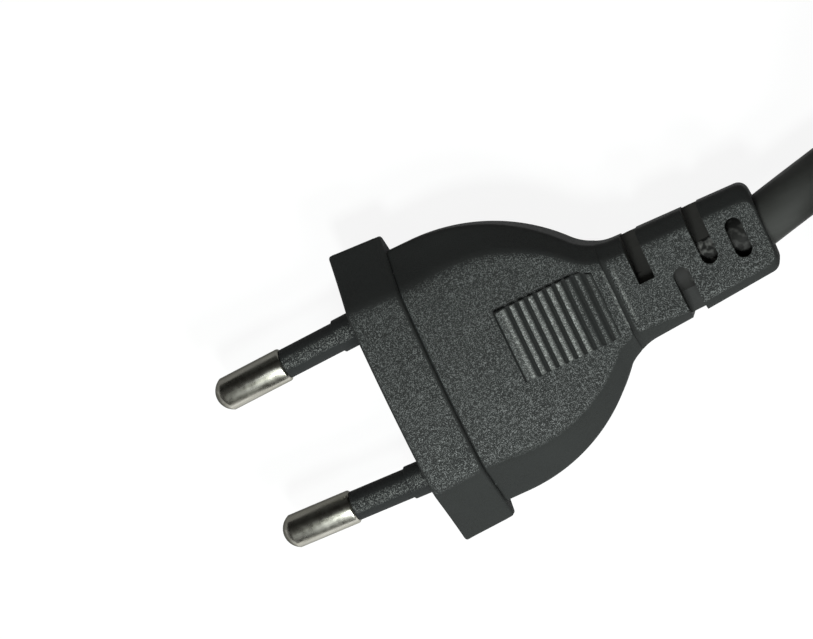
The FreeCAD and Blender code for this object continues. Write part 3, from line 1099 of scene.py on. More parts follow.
    def rib_stations(self) -> list[Station]:
        """Rings along the ribbed panel: a thin line, the land, then the ribs.

        Returns:
            Stations in order of x.
        """
        spans = self.rib_spans()
        made = []
        for step, depth in ((2, 0.0), (1, self.land_line_depth)):
            x = spans[0][0] - step * self.land_line
            made.append(Station(x, self.grip_section(x), -depth))
        for number in range(len(spans)):
            made += self.rib(spans, number)
        return made

    def rib(self, spans: Sequence[Point2], number: int) -> list[Station]:
        """Rings over the land or one rib, steep to the pins and eased to the cord, and the groove behind.

        Args:
            spans: Start and end of the land and of each rib.
            number: 0 for the land, then the ribs in order.

        Returns:
            Stations in order of x.
        """
        start, end = spans[number]
        left = len(spans) - number
        faded = left <= self.rib_fading
        full = self.rib_faded_height if faded else 1.0
        handled = self.faded_rib_highlight if faded else self.rib_highlight
        moat = 0.0 if left <= self.ribs_past_moat else 1.0
        profile = [(start + self.rib_rise * step, height) for step, height in self.RIB_EASING]
        if number == 0:
            profile.append((end - self.land_edge, 1.0))
        profile += [(end - self.rib_fall * step, height) for step, height in reversed(self.RIB_EASING)]
        made = []
        for x, height in profile:
            on_land = number == 0 and x <= end - self.land_edge
            # Painted highlight, strongest on the crest of the land or rib
            rub = (self.land_highlight if on_land else handled) * height ** self.rib_highlight_focus
            made.append(Station(x, self.grip_section(x), full * height, rub, moat))
        x = end + (self.rib_pitch - self.rib_width) / 2
        groove = 0.0 if left == 1 else self.groove
        made.append(Station(x, self.grip_section(x), groove, 0.0, moat))
        return made

    def rim(self, x: float, heading: int, depth: float, section: Octagon, steps: int) -> list[Station]:
        """Stations that round a rim.

        Args:
            x: Place of the rim's face.
            heading: 1 where the face looks to the pins, -1 where it looks to the cord.
            depth: Radius of the rounding.
            section: Section inside the rounding.
            steps: Parts that the rounding is divided into.

        Returns:
            Stations in order of x.
        """
        made = []
        for index in range(steps + 1):
            angle = math.pi / 2 * index / steps
            place = x + heading * depth * (1 - math.cos(angle))
            drawn_in = depth * (1 - math.sin(angle))
            made.append(Station(place, section.inset(drawn_in, drawn_in)))
        return made if heading > 0 else made[::-1]

    def stations(self) -> list[Station]:
        """Every ring of the body, from the engagement face to the cord.

        Returns:
            Stations in order of x.
        """
        rear = self.flange_depth
        made = self.rim(0.0, 1, self.rim_round, self.flange_section(0.0), self.RIM_STEPS)
        inside = inner_steps(self.rim_round, rear - self.rim_round, self.FLANGE_STEPS)
        made += [Station(x, self.flange_section(x)) for x in inside]
        made += self.rim(rear, -1, self.rim_round, self.flange_section(rear), self.RIM_STEPS)
        made += self.root_stations()
        panel = self.rib_stations()
        made += self.plain_stations(made[-1].x, panel[0].x, self.GRIP_STEPS)
        made += panel
        made += self.plain_stations(panel[-1].x, self.neck_x - self.neck_lip, self.NECK_STEPS)
        lip = self.rim(self.neck_x, -1, self.neck_lip, self.grip_section(self.neck_x), self.LIP_STEPS)
        # The neck lip carries a painted highlight
        made += [replace(station, handled=self.lip_highlight) for station in lip[:-1]] + lip[-1:]
        made += self.relief_stations()
        return made

    def root_stations(self) -> list[Station]:
        """Rings of the groove at the root of the flange.

        Returns:
            Stations in order of x.
        """
        made = []
        for index in range(self.GROOVE_STEPS + 1):
            part = index / self.GROOVE_STEPS
            x = self.flange_depth + self.root_groove_width * part
            depth = self.root_groove_depth * (1 - ease(part))
            made.append(Station(x, self.grip_section(x).inset(depth, depth)))
        return made

    def plain_stations(self, start: float, end: float, steps: int) -> list[Station]:
        """Rings of the bare grip between two places."""
        return [Station(x, self.grip_section(x)) for x in inner_steps(start, end, steps)]

    def relief_stations(self) -> list[Station]:
        """Rings of the strain relief: the ramp at the neck, the tapered length and the rounded end.

        Returns:
            Stations in order of x.
        """
        made = []
        for index in range(self.RAMP_STEPS + 1):
            x = self.neck_x + self.neck_gap + self.ramp_reach * self.ramp_length * index / self.RAMP_STEPS
            # Two steps of the ramp's rounded edge carry a painted highlight
            handled = self.ramp_highlight if index in self.RAMP_HIGHLIGHT_STEPS else 0.0
            made.append(Station(x, self.relief_section(x), handled=handled))
        end = self.body_length - self.relief_end_round
        for x in inner_steps(made[-1].x, end, self.RELIEF_STEPS):
            made.append(Station(x, self.relief_section(x)))
        for index in range(self.END_STEPS + 1):
            left = self.relief_end_round * (1 - math.sin(math.pi / 2 * index / self.END_STEPS))
            section = self.relief_section(self.body_length - left)
            aside = self.corner_depth(left, self.relief_end_round)
            down = self.corner_depth(left, self.relief_rim)
            made.append(Station(self.body_length - left, section.inset(aside, down)))
        return made

    @staticmethod
    def corner_depth(left: float, radius: float) -> float:
        """How far a round corner has drawn in with so much left to the end."""
        into = max(0.0, radius - left)
        return radius - math.sqrt(max(0.0, radius ** 2 - into ** 2))

    def ring(self, station: Station) -> tuple[list[Vector], list[float]]:
        """Points round one station, with its rib raised on both broad faces.

        Args:
            station: The ring's place and section.

        Returns:
            The points, and how much painted highlight each carries.
        """
        near = self.raised_quarter(station, 1)
        far = self.raised_quarter(station, -1)
        outline = list(near)
        outline += [(y, -z, rub) for y, z, rub in reversed(near[:-1])]
        outline += [(-y, -z, rub) for y, z, rub in far[1:]]
        outline += [(-y, z, rub) for y, z, rub in reversed(far[1:-1])]
        points = [self.place.at(station.x, y + self.sway(station.x), z) for y, z, _ in outline]
        return points, [rub for _, _, rub in outline]

    def raised_quarter(self, station: Station, sign: int) -> list[Point3]:
        """One quarter of a ring with its rib.

        Args:
            station: The ring's place and section.
            sign: 1 for the +Y side, which has the moat, -1 for the other.

        Returns:
            Distance from the middle, height and painted highlight of each point.
        """
        span = self.rib_half_span + sign * self.rib_shift
        columns = [span * part for part in self.TOP_COLUMNS]
        columns += [span - self.rib_flank * left for left, _ in self.END_SHAPE]
        foot = len(columns) - 1
        columns += [span + self.moat_width, span + 2 * self.moat_width]
        quarter = station.section.quarter(columns, sign)
        heights = [1.0] * len(self.TOP_COLUMNS) + [height for _, height in self.END_SHAPE]
        heights += [0.0] * (len(quarter) - len(heights))
        moat = station.moat * self.moat_depth if sign > 0 else 0.0
        raised = []
        for column, ((y, z), height) in enumerate(zip(quarter, heights)):
            z += station.rib * self.rib_height * height
            if column in (foot, foot + 1):
                z -= moat
            raised.append((y, z, station.handled * height))
        return raised

    def slot_outline(
        self, x: float, low: float, high: float, round_low: bool, round_high: bool,
    ) -> list[Point2]:
        """Plan of one slot.

        Args:
            x: Middle of the slot.
            low: Lower end across the plug.
            high: Upper end across the plug.
            round_low: Whether the lower end is round.
            round_high: Whether the upper end is round.

        Returns:
            Points of the outline, as (x, y).
        """
        radius = self.slot_width / 2
        outline = []
        for end, is_round, turn in ((low, round_low, math.pi), (high, round_high, 0.0)):
            toward = 1 if turn else -1
            if not is_round:
                outline += [(x - toward * radius, end), (x + toward * radius, end)]
                continue
            for index in range(self.SLOT_ROUND_STEPS + 1):
                angle = turn + math.pi * index / self.SLOT_ROUND_STEPS
                centre = end + toward * radius
                outline.append((x + radius * math.cos(angle), centre + radius * math.sin(angle)))
        return outline

    def prism(self, outline: Sequence[Point2], floors: Sequence[float], sign: int) -> Skin:
        """What one slot takes out above its floor, or below it on the underside.

        Args:
            outline: Plan of the slot.
            floors: Height of the floor at each point of the outline.
            sign: 1 for the upper face, -1 for the underside.

        Returns:
            Vertices and faces.
        """
        plan = [(x, y + self.sway(x)) for x, y in outline]
        bottom = [self.place.at(x, y, sign * floor) for (x, y), floor in zip(plan, floors)]
        top = [self.place.at(x, y, sign * self.flange_height) for x, y in plan]
        return skin([bottom, top])

    def slots(self) -> list[Slot]:
        """The four slots, from the neck to the cord.

        Returns:
            The slots in order.
        """
        edge = self.relief_width_front
        window = self.slot_window_length / 2
        return [
            # The first, third and fourth slots take the copy for slots in shade, the second the lit copy
            Slot(self.slot_square_inner_y, edge, False, False, Finishes.SHADED_SLOT_WALL, True),
            Slot(-edge, self.slot_lower_inner_y, False, True, Finishes.LIT_SLOT_WEB),
            Slot(self.slot_upper_inner_y, edge, True, False, Finishes.SHADED_SLOT_WALL),
            Slot(-window, window, True, True, Finishes.SHADED_SLOT_WALL),
        ]

    def slot_cutter(self, finish: Finish) -> bpy.types.Object:
        """Everything that the slots with one finish take out of the strain relief.

        Args:
            finish: Finish of the slots' walls.

        Returns:
            The cutter.
        """
        prisms = []
        for number, slot in enumerate(self.slots()):
            if slot.finish is finish:
                prisms += self.slot_prisms(self.slot_first_x + self.slot_pitch * number, slot)
        cutter = mesh_object("cutter_" + finish.name, *joined(prisms))
        cutter.data.materials.append(finish.material())
        return cutter

    def slot_prisms(self, x: float, slot: Slot) -> list[Skin]:
        """What one slot takes out.

        Args:
            x: Middle of the slot.
            slot: Its ends and finish.

        Returns:
            Prisms that may overlap.
        """
        side = self.relief_section(x).width / 2
        lean = math.asin(self.web_rest_radius / side)
        opens = slot.high > side
        deep_end = self.web_rest_radius * math.sin(lean) if opens else slot.high
        if slot.floored:
            deep_end = slot.low
        prisms = []
        for sign in (1, -1):
            if not slot.floored:
                deep = self.slot_outline(x, slot.low, deep_end, slot.round_low, slot.round_high)
                prisms.append(self.prism(deep, [self.web_thickness / 2] * len(deep), sign))
            if opens:
                ramp = self.slot_outline(x, deep_end - self.slot_overlap, slot.high, False, False)
                prisms.append(self.prism(ramp, [(side - y) * math.tan(lean) for _, y in ramp], sign))
        if slot.low < -side:
            notch = self.slot_outline(x, slot.low, self.web_set_in - side, False, False)
            prisms.append(self.prism(notch, [-self.flange_height] * len(notch), 1))
        return prisms

    def build(self) -> bpy.types.Object:
        """Skin the rings, dress the moulding and cut the slots.

        Returns:
            The body.
        """
        rings = [self.ring(station) for station in self.stations()]
        body = mesh_object("moulded_body", *skin([points for points, _ in rings]))
        # Each point carries its share of painted highlight
        handled = body.data.attributes.new(HIGHLIGHT_ATTRIBUTE, "FLOAT", "POINT")
        handled.data.foreach_set("value", [rub for _, highlights in rings for rub in highlights])
        add_piece(body, Finishes.MOULDING, "plug_body")
        cutters = [self.slot_cutter(finish) for finish in (Finishes.SHADED_SLOT_WALL, Finishes.LIT_SLOT_WEB)]
        for cutter in cutters:
            cut = body.modifiers.new(cutter.name, "BOOLEAN")
            cut.object = cutter
            cut.operation = "DIFFERENCE"
            cut.solver = "EXACT"
            cut.use_self = True
            cut.material_mode = "TRANSFER"
        apply_modifiers(body)
        for cutter in cutters:
            bpy.data.objects.remove(cutter)
        smooth(body, self.crease)
        return body


def apply_modifiers(piece: bpy.types.Object) -> None:
    """Replace a piece's mesh by what its modifiers make of it.

    Args:
        piece: The piece.
    """
    bpy.context.view_layer.update()
    shown = piece.evaluated_get(bpy.context.evaluated_depsgraph_get())
    made = bpy.data.meshes.new_from_object(shown)
    old = piece.data
    piece.modifiers.clear()
    piece.data = made
    bpy.data.meshes.remove(old)


# Pins


class Side(Enum):
    """The two pins, with the sign of their place across the plug."""

    LEFT = 1
    RIGHT = -1


@dataclass
class SleevedPin:
    """Contact pin with its insulating sleeve, leaning in at the tip."""

    DOME_STEPS = 14
    PIN_SIDES = 96
    SLEEVE_SIDES = 72

    place: PlugFrame
    side: Side
    length: float = 19.0
    base_spacing: float = 18.8
    tip_spacing: float = 17.5
    diameter: float = 4.0
    bare_length: float = 9.0
    tip_length: float = 1.35
    tip_start: float = 88.0
    tip_crease: float = 24.0
    rim_round: float = 0.28
    rim_land: float = 1.0
    shank_diameter: float = 2.5
    crimp_end: float = 14.6
    sleeve_diameter: float = 3.5
    collar_diameter: float = 3.95
    collar_length: float = 3.0
    sleeve_end: float = 1.6
    sleeve_round: float = 0.12
    collar_root_round: float = 0.15

    def on_axis(self, x: float, across: float, up: float) -> Vector:
        """Point beside the pin's leaning axis, in the frame.

        Args:
            x: Distance from the engagement face along the axis.
            across: Offset across the plug.
            up: Offset upwards.

        Returns:
            The point in metres.
        """
        lean = math.atan((self.base_spacing - self.tip_spacing) / 2 / self.length) * self.side.value
        y = self.side.value * self.base_spacing / 2 + x * math.sin(lean) + across * math.cos(lean)
        return self.place.at(x * math.cos(lean) - across * math.sin(lean), y, up)

    def pin_profile(self) -> list[Point2]:
        """Half profile from the domed tip to the crimp.

        Returns:
            Points as (x, radius).
        """
        side = self.diameter / 2
        dome = []
        for index in range(self.DOME_STEPS + 1):
            turned = (self.tip_crease - self.tip_start) * index / self.DOME_STEPS
            angle = math.radians(self.tip_start + turned)
            radius = side * math.cos(angle) / math.cos(math.radians(self.tip_crease))
            rise = (1 - math.sin(angle)) / (1 - math.sin(math.radians(self.tip_crease)))
            dome.append((self.tip_length * rise - self.length, radius))
        bare_start = self.bare_length - self.length
        shank = self.shank_diameter / 2
        rear = rounded_profile([
            (bare_start - self.rim_land, side, 0.0),
            (bare_start, side, self.rim_round),
            (bare_start, shank, 0.0),
        ])
        return dome + rear + [(self.crimp_end, shank)]

    def sleeve_profile(self) -> list[Point2]:
        """Half profile of the sleeve with its collar.

        Returns:
            Points as (x, radius).
        """
        front = self.bare_length - self.length
        inside = self.shank_diameter / 2
        outside = self.sleeve_diameter / 2
        collar = self.collar_diameter / 2
        return rounded_profile([
            (front, inside, 0.0),
            (front, outside, self.sleeve_round),
            (-self.collar_length, outside, self.collar_root_round),
            (-self.collar_length, collar, self.sleeve_round),
            (self.sleeve_end, collar, 0.0),
            (self.sleeve_end, inside, 0.0),
        ])

    def build(self) -> list[bpy.types.Object]:
        """Turn the pin and its sleeve and dress them.

        Returns:
            The pin and the sleeve.
        """
        label = self.side.name.lower()
        turned = lathe(self.pin_profile(), self.on_axis, self.PIN_SIDES)
        pin = mesh_object(label + "_turned_pin", *turned)
        moulded = lathe(self.sleeve_profile(), self.on_axis, self.SLEEVE_SIDES)
        sleeve = mesh_object(label + "_sleeve", *moulded)
        return [
            add_piece(pin, Finishes.NICKEL, label + "_pin"),
            add_piece(sleeve, Finishes.SLEEVE, label + "_pin_sleeve"),
        ]


# Cord


class Column(Enum):
    """The two columns of turns in the hank, with the diameters that each lies inside the outer one."""

    OUTER = 0
    INNER = 1


@dataclass(frozen=True)
class Turn:
    """Place of one turn in the hank."""

    column: Column
    layer: int


@dataclass
class Lead:
    """Cord from the strain relief through the hank to its stripped end, in metres."""

    FOLD_POINTS = 12
    ALONG_STEPS = 8
    ROUND_STEPS = 5
    # Places of the points on the hank's straight runs, as shares of a run
    FIRST_RUN = (0.35, 0.65, 0.92)
    LATER_RUN = (0.12, 0.4, 0.65, 0.92)
    RETURN_RUN = (0.08, 0.35)
    MOVING_RUN = (0.0, 0.33, 0.66)

    diameter: float = 0.0059
    length: float = 1.357
    lead_route: tuple[Point3, ...] = (
        (0.0314, 0.0005, 0.00685),
        (0.0426, 0.0030, 0.00615),
        (0.0552, 0.0052, 0.00445),
        (0.0667, 0.0061, 0.00355),
    )
    turns: tuple[Turn, ...] = (
        Turn(Column.OUTER, 0),
        Turn(Column.INNER, 0),
        Turn(Column.INNER, 1),
        Turn(Column.OUTER, 1),
        Turn(Column.OUTER, 2),
        Turn(Column.INNER, 2),
        Turn(Column.INNER, 3),
    )
    last_run: float = 0.006
    move_length: float = 0.038
    move_stagger: float = 0.0105
    move_start_x: float = 0.083
    hump: float = 0.0019
    hump_from: float = 0.50
    hump_to: float = 1.10

    def __post_init__(self) -> None:
        """Work out the hank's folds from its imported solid."""
        low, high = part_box("cord_hank")
        radius = self.diameter / 2
        reach = (high.y - low.y) / 2
        self.middle_y = (high.y + low.y) / 2
        self.near_x = low.x + reach
        self.far_x = high.x - reach
        self.outer_radius = reach - radius
        self.base_z = low.z + radius
        self.end_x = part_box("brown_tail_wire")[1].x

    def turn_place(self, turn: Turn) -> Point2:
        """Distance from the hank's middle line and height of a turn."""
        aside = self.outer_radius - turn.column.value * self.diameter
        return aside, self.base_z + turn.layer * self.diameter

    def moved(self, number: int, travelled: float) -> Point2:
        """Place of the cord on its way from one turn to the next.

        Args:
            number: Which turn it leaves.
            travelled: Distance along the cord since the first move of the hank could start.

        Returns:
            Distance from the middle line, and height.
        """
        here = Vector(self.turn_place(self.turns[number]))
        if number + 1 == len(self.turns):
            return tuple(here)
        after = Vector(self.turn_place(self.turns[number + 1]))
        start = (len(self.turns) - 2 - number) * self.move_stagger
        return tuple(here.lerp(after, ease((travelled - start) / self.move_length)))

    def fold(self, centre_x: float, start: float, number: int, near: bool) -> list[Vector]:
        """Control points of a half turn.

        Args:
            centre_x: Middle of the fold.
            start: Angle at which the fold begins, in radians; the cord runs clockwise seen from above.
            number: Which turn it belongs to.
            near: Whether this is the fold next to the plug, where a turn moves over to the next one.

        Returns:
            Points evenly spaced round the fold.
        """
        made = []
        step = math.pi / self.FOLD_POINTS
        for index in range(self.FOLD_POINTS):
            part = (index + 0.5) / self.FOLD_POINTS
            radius, z = self.turn_place(self.turns[number])
            if near:
                run_in = self.move_start_x - self.near_x
                radius, z = self.moved(number, run_in + math.pi * self.outer_radius * part)
                z += self.lift(number, part)
            angle = start - math.pi * part
            reach = radius / math.cos(step / 2)
            x = centre_x + reach * math.cos(angle)
            made.append(Vector((x, self.middle_y + reach * math.sin(angle), z)))
        return made

    def lift(self, number: int, part: float) -> float:
        """Low hump of the outer turns where the cord comes in under them.

        Args:
            number: Which turn it belongs to.
            part: Share of the fold that lies behind.

        Returns:
            How far the cord is lifted.
        """
        after = self.turns[number + 1:number + 2]
        if not after or after[0].column is not Column.OUTER:
            return 0.0
        along = share(part, self.hump_from, self.hump_to)
        return self.hump * (0.5 - 0.5 * math.cos(2 * math.pi * along))

    def route(self) -> list[Vector]:
        """Control points of the whole cord.

        Returns:
            Points from the strain relief to the stripped end.
        """
        points = [Vector(point) for point in self.lead_route]
        span = self.far_x - self.near_x
        for number, turn in enumerate(self.turns):
            radius, z = self.turn_place(turn)
            run = self.LATER_RUN if number else self.FIRST_RUN
            points += [Vector((self.near_x + span * part, self.middle_y + radius, z)) for part in run]
            points += self.fold(self.far_x, math.pi / 2, number, False)
            if number + 1 == len(self.turns):
                back = [self.far_x - self.last_run, self.end_x]
            else:
                back = [self.far_x - span * part for part in self.RETURN_RUN]
            points += [Vector((x, self.middle_y - radius, z)) for x in back]
            if number + 1 < len(self.turns):
                points += self.run_in(number)
                points += self.fold(self.near_x, -math.pi / 2, number, True)
        return points

    def run_in(self, number: int) -> list[Vector]:
        """Points of the run before the near fold, where the upper turns start to move over.

        Args:
            number: Which turn it belongs to.

        Returns:
            Control points in order.
        """
        made = []
        for part in self.MOVING_RUN:
            x = self.move_start_x + (self.near_x - self.move_start_x) * part
            radius, z = self.moved(number, self.move_start_x - x)
            made.append(Vector((x, self.middle_y - radius, z)))
        return made

    def build(self, others: Sequence[bpy.types.Object]) -> bpy.types.Object:
        """Args:
            others: The ties and the stripped wires; not used.

        Returns:
            The cord.
        """
        radius = self.diameter / 2
        cord = curve_object("mains_cord", self.route(), radius, self.ALONG_STEPS, self.ROUND_STEPS)
        add_piece(cord, Finishes.SHEATH, "cord_lead", "cord_hank")
        list(others)
        return cord


def curve_object(
    name: str, points: Sequence[Vector], radius: float, along: int, round_steps: int,
) -> bpy.types.Object:
    """Round piece along a smooth line.

    Args:
        name: Name of the piece.
        points: Control points in the frame, in metres.
        radius: Half the thickness.
        along: Steps between two control points.
        round_steps: Roundness of the section.

    Returns:
        The curve object.
    """
    data = bpy.data.curves.new(name, "CURVE")
    data.dimensions = "3D"
    spline = data.splines.new("NURBS")
    spline.points.add(len(points) - 1)
    for control, point in zip(spline.points, points):
        control.co = (*point, 1.0)
    spline.order_u = 3
    spline.use_endpoint_u = True
    spline.resolution_u = along
    data.bevel_depth = radius
    data.bevel_resolution = round_steps
    data.use_fill_caps = True
    piece = bpy.data.objects.new(name, data)
    bpy.context.scene.collection.objects.link(piece)
    return piece


@dataclass
class TailWires:
    """Stripped end of the cord: two insulated wires with twisted, tinned strands, in metres."""

    ALONG_STEPS = 10
    ROUND_STEPS = 4
    STRAND_STEPS = 28
    STRAND_SIDES = 10

    core_radius: float = 0.0011
    strand_radius: float = 0.00022
    strand_ring: float = 0.00034
    strands: int = 6
    twist_turns: float = 2.2
    strand_tuck: float = 0.0008
    lay_out: float = 0.0042
    inside_part: float = 0.06
    bend_part: float = 0.2
    bend_lean: float = 0.25
    bend_droop: float = 0.0004
    rest_line: tuple[Point2, ...] = ((0.42, 0.0003), (0.66, -0.0002), (0.84, 0.0), (1.0, 0.0007))

    def wire_points(self, node: str, sign: int) -> list[Vector]:
        """Control points of one wire, which droops off the sheath's end and lies on the turns below.

        Args:
            node: Packed wire that it stands for.
            sign: 1 for the wire nearer to the hank's middle, -1 for the other.

        Returns:
            Points from inside the sheath to the wire's cut end.
        """
        low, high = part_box(node)
        y = (low.y + high.y) / 2
        top = high.z - self.core_radius
        rest = low.z + self.core_radius
        shape = [(-self.inside_part, y, top), (self.inside_part, y, top)]
        shape.append((self.bend_part, y - self.bend_lean * self.lay_out, top - self.bend_droop))
        shape += [(part, y - self.lay_out + sign * waver, rest) for part, waver in self.rest_line]
        span = high.x - low.x
        return [Vector((high.x - span * part, wire_y, z)) for part, wire_y, z in shape]

    def strand_bundle(self, start: Vector, heading: Vector, length: float) -> Skin:
        """Tinned strands twisted round one in the middle.

        Args:
            start: Where the strands leave the insulation.
            heading: Direction that they run in.
            length: Length that shows.

        Returns:
            Vertices and faces.
        """
        across = heading.cross(Vector((0, 0, 1))).normalized()
        over = across.cross(heading)
        strands = []
        for strand in range(self.strands + 1):
            ring = self.strand_ring if strand else 0.0
            rings = []
            for index in range(self.STRAND_STEPS + 1):
                part = index / self.STRAND_STEPS
                angle = 2 * math.pi * (strand / self.strands + self.twist_turns * part)
                middle = start + heading * (length * part)
                middle += (across * math.cos(angle) + over * math.sin(angle)) * ring
                rings.append(self.circle(middle, across, over))
            strands.append(skin(rings))
        return joined(strands)

    def circle(self, middle: Vector, across: Vector, over: Vector) -> list[Vector]:
        """Points round one strand.

        Args:
            middle: Middle of the circle.
            across: One direction in its plane.
            over: The other direction, square to it.

        Returns:
            Points in order.
        """
        made = []
        for corner in range(self.STRAND_SIDES):
            turn = 2 * math.pi * corner / self.STRAND_SIDES
            made.append(middle + (across * math.cos(turn) + over * math.sin(turn)) * self.strand_radius)
        return made

    def build(self) -> list[bpy.types.Object]:
        """Make both wires and their tinned ends.

        Returns:
            The two wires, then the strands of both.
        """
        pieces = []
        bundles = []
        low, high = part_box("tinned_wire_ends")
        wires = (("brown_tail_wire", Finishes.BROWN, 1), ("blue_tail_wire", Finishes.BLUE, -1))
        for node, finish, sign in wires:
            route = self.wire_points(node, sign)
            name = node.replace("tail", "stripped")
            wire = curve_object(name, route, self.core_radius, self.ALONG_STEPS, self.ROUND_STEPS)
            pieces.append(add_piece(wire, finish, node))
            heading = (route[-1] - route[-2]).normalized()
            start = route[-1] - heading * self.strand_tuck
            bundles.append(self.strand_bundle(start, heading, high.x - low.x))
        ends = mesh_object("tinned_strands", *joined(bundles))
        pieces.append(add_piece(ends, Finishes.TIN, "tinned_wire_ends"))
        return pieces


@dataclass
class HankTies:
    """Two woven strips round the hank, one on each side, in metres."""

    ARC_STEPS = 8

    thickness: float = 0.0006
    stand_off: float = 0.000012
    corner_round: float = 0.0026
    edge_round: float = 0.00018

    def outline(self, side: int, out: float) -> list[Point2]:
        """Strip's path round one side of the hank.

        Args:
            side: 1 or -1 across the hank.
            out: Distance out from the turns.

        Returns:
            Points as (y, z) of a closed path.
        """
        low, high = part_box("hank_ties")
        hank_low, hank_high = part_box("cord_hank")
        middle = (low.y + high.y) / 2
        reach = (hank_high.y - hank_low.y) / 2
        cord = Lead.diameter
        inner = reach - 2 * cord
        tuck = (2 - math.sqrt(2)) * cord / 2
        step_z = hank_high.z - cord - tuck
        shape = [
            (inner, hank_low.z),
            (reach, hank_low.z),
            (reach, step_z),
            (reach - cord - tuck, hank_high.z),
            (inner, hank_high.z),
        ]
        path = []
        for index, corner in enumerate(shape):
            before = shape[index - 1]
            after = shape[(index + 1) % len(shape)]
            path += rounded_step(corner, before, after, self.corner_round, self.ARC_STEPS)
        grown = offset_outline(path, out)
        return [(middle + side * y, z) for y, z in grown]

    def strip(self, side: int) -> Skin:
        """One closed strip with eased edges.

        Args:
            side: 1 or -1 across the hank.

        Returns:
            Vertices and faces.
        """
        low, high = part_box("hank_ties")
        ease_by = self.edge_round
        thick = self.thickness
        width = high.x - low.x
        section = (
            (0.0, self.stand_off),
            (width, self.stand_off),
            (width, thick - ease_by),
            (width - ease_by, thick),
            (ease_by, thick),
            (0.0, thick - ease_by),
        )
        loops = [(low.x + across, self.outline(side, out)) for across, out in section]
        count = len(loops[0][1])
        points = [Vector((x, y, z)) for x, loop in loops for y, z in loop]
        faces = []
        for row in range(len(loops)):
            here = row * count
            there = (row + 1) % len(loops) * count
            for index in range(count):
                after = (index + 1) % count
                faces.append([here + index, here + after, there + after, there + index])
        return points, faces

    def build(self) -> bpy.types.Object:
        """Make both strips as one piece."""
        ties = mesh_object("tie_strips", *joined([self.strip(side) for side in (1, -1)]))
        return add_piece(ties, Finishes.STRIP, "hank_ties")


def offset_outline(path: Sequence[Point2], out: float) -> list[Point2]:
    """Closed path moved outwards by a distance, point by point.

    Args:
        path: Points that run anticlockwise.
        out: Distance.

    Returns:
        The moved points.
    """
    grown = []
    for index, (y, z) in enumerate(path):
        before = Vector(path[index - 1])
        after = Vector(path[(index + 1) % len(path)])
        along = (after - before).normalized()
        grown.append((y + along.y * out, z - along.x * out))
    return grown


# Studio


@dataclass(frozen=True)
class Lamp:
    """Soft rectangular lamp: where it hangs, its width and height, its watts and what it points at."""

    name: str
    place: Point3
    size: Point2
    watts: float
    aim: Point3 = (0.0, 0.0, 0.0)

    def build(self, colour: Colour) -> bpy.types.Object:
        """Hang the lamp.

        Args:
            colour: Colour of its light.

        Returns:
            The lamp.
        """
        data = bpy.data.lights.new(self.name, "AREA")
        data.shape = "RECTANGLE"
        data.size, data.size_y = self.size
        data.energy = self.watts
        data.color = colour
        lamp = bpy.data.objects.new(self.name, data)
        bpy.context.scene.collection.objects.link(lamp)
        lamp.location = self.place
        lamp.rotation_mode = "QUATERNION"
        lamp.rotation_quaternion = (Vector(self.aim) - Vector(self.place)).to_track_quat("-Z", "Y")
        return lamp


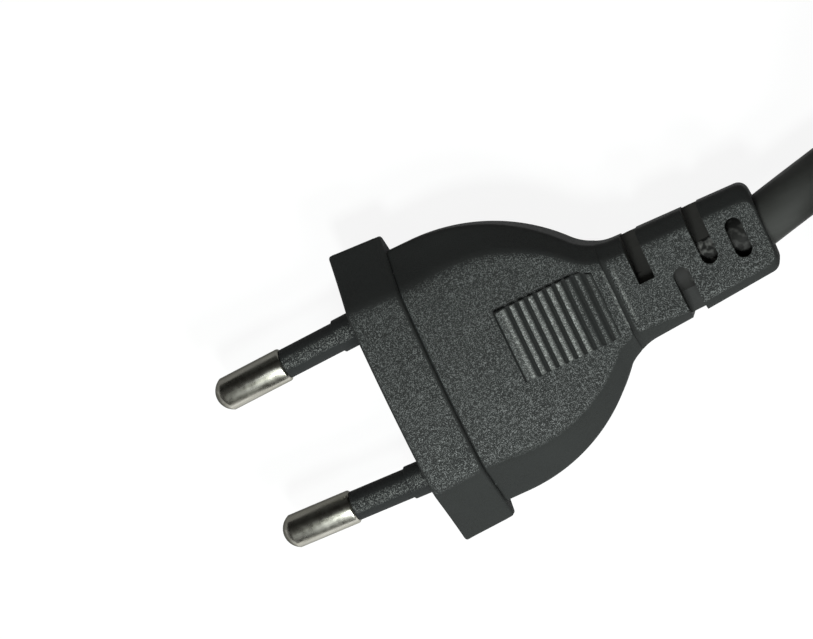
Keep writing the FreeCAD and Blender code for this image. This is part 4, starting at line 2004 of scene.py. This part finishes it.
@dataclass
class Studio:
    """Pale floor, soft lamps and the camera, in metres."""

    FLOOR_SIDES = 64

    lamps: tuple[Lamp, ...] = (
        Lamp("key", (0.06, -0.26, 0.25), (0.10, 0.10), 0.80),
        Lamp("top", (-0.035, -0.15, 0.345), (0.07, 0.07), 0.70),
        Lamp("side_panel", (-0.13, -0.27, 0.42), (0.30, 0.45), 0.17, (-0.02, 0.0, 0.0)),
        Lamp("back_panel", (0.03, 0.45, 0.13), (0.50, 0.30), 0.05),
        Lamp("pin_light", (-0.12, -0.02, 0.36), (0.05, 0.03), 0.036, (-0.02, 0.0, 0.0)),
    )
    camera_place: Point3 = (0.04588, 0.02162, 0.30028)
    camera_aim: Point3 = (-0.00849, 0.00771, 0.00685)
    camera_roll: float = 25.925
    focal_pixels: float = 2637.7
    picture_width: float = 813.0
    sensor_width: float = 36.0
    nearest: float = 0.01
    farthest: float = 50.0
    floor_radius: float = 8.0
    floor_roughness: float = 0.9
    floor_colour: Colour = (0.14, 0.14, 0.14)
    floor_glow: float = 0.90
    dome_colour: Colour = (1.0, 0.985, 0.94)
    lamp_colour: Colour = (0.95, 1.0, 0.985)
    dome_strength: float = 0.060

    def camera(self) -> bpy.types.Object:
        """Camera at the photograph's viewing angle.

        Returns:
            The camera.
        """
        data = bpy.data.cameras.new("camera")
        data.sensor_width = self.sensor_width
        data.lens = self.focal_pixels * self.sensor_width / self.picture_width
        data.clip_start = self.nearest
        data.clip_end = self.farthest
        camera = bpy.data.objects.new("camera", data)
        bpy.context.scene.collection.objects.link(camera)
        place = Vector(self.camera_place)
        look = (Vector(self.camera_aim) - place).normalized()
        level = (Vector((0, 1, 0)) - look * look.y).normalized()
        up = Quaternion(look, math.radians(self.camera_roll)) @ level
        right = look.cross(up)
        turn = Matrix((right, up, -look)).transposed()
        camera.matrix_world = Matrix.Translation(place) @ turn.to_4x4()
        bpy.context.scene.camera = camera
        return camera

    def floor(self) -> bpy.types.Object:
        """Wide pale floor that shows white and keeps the object's shadow.

        Returns:
            The floor.
        """
        rim = []
        for index in range(self.FLOOR_SIDES):
            angle = 2 * math.pi * index / self.FLOOR_SIDES
            rim.append(Vector((math.cos(angle), math.sin(angle), 0.0)) * self.floor_radius)
        floor = mesh_object("floor", rim, [list(range(self.FLOOR_SIDES))])
        material = bpy.data.materials.new("floor_paper")
        material.use_nodes = True
        tree = Tree(material.node_tree)
        shader = material.node_tree.nodes["Principled BSDF"]
        shader.inputs["Base Color"].default_value = (*self.floor_colour, 1.0)
        shader.inputs["Roughness"].default_value = self.floor_roughness
        rays = tree.node("ShaderNodeLightPath", {})
        seen = tree.math("ADD", rays.outputs["Is Camera Ray"], rays.outputs["Is Glossy Ray"], True)
        seen = tree.math("ADD", seen, rays.outputs["Is Transmission Ray"], True)
        shader.inputs["Emission Color"].default_value = (1.0, 1.0, 1.0, 1.0)
        tree.feed(shader.inputs["Emission Strength"], tree.math("MULTIPLY", seen, self.floor_glow))
        floor.data.materials.append(material)
        return floor

    def world(self) -> None:
        """Even dome of soft light."""
        world = bpy.data.worlds.new("dome")
        world.use_nodes = True
        back = world.node_tree.nodes["Background"]
        back.inputs["Color"].default_value = (*self.dome_colour, 1.0)
        back.inputs["Strength"].default_value = self.dome_strength
        bpy.context.scene.world = world

    def build(self) -> None:
        """Set the stage."""
        self.camera()
        self.floor()
        self.world()
        for lamp in self.lamps:
            lamp.build(self.lamp_colour)
        bpy.context.scene.view_settings.view_transform = "Standard"


def dress_inner_nodes() -> None:
    """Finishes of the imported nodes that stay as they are."""
    finishes = {
        "pin_bridge": Finishes.INSERT,
        "brown_core": Finishes.BROWN,
        "blue_core": Finishes.BLUE,
        "brown_conductor": Finishes.COPPER,
        "blue_conductor": Finishes.COPPER,
        "cord_grip": Finishes.SHADED_GRIPPED_SHEATH,
    }
    for name, finish in finishes.items():
        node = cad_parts[name]
        finish.dress(node)
        smooth(node)
        LOG.info("%s has the finish %s", name, finish.name)


def main() -> None:
    """Build the plug, its lead and the studio."""
    logging.basicConfig(level=logging.INFO, format="%(name)s: %(message)s")
    place = PlugFrame.from_node("plug_body")
    Studio().build()
    ties = HankTies().build()
    wires = TailWires().build()
    Lead().build([ties, *wires])
    MouldedBody(place).build()
    for side in Side:
        SleevedPin(place, side).build()
    dress_inner_nodes()


if __name__ == "__main__":
    main()
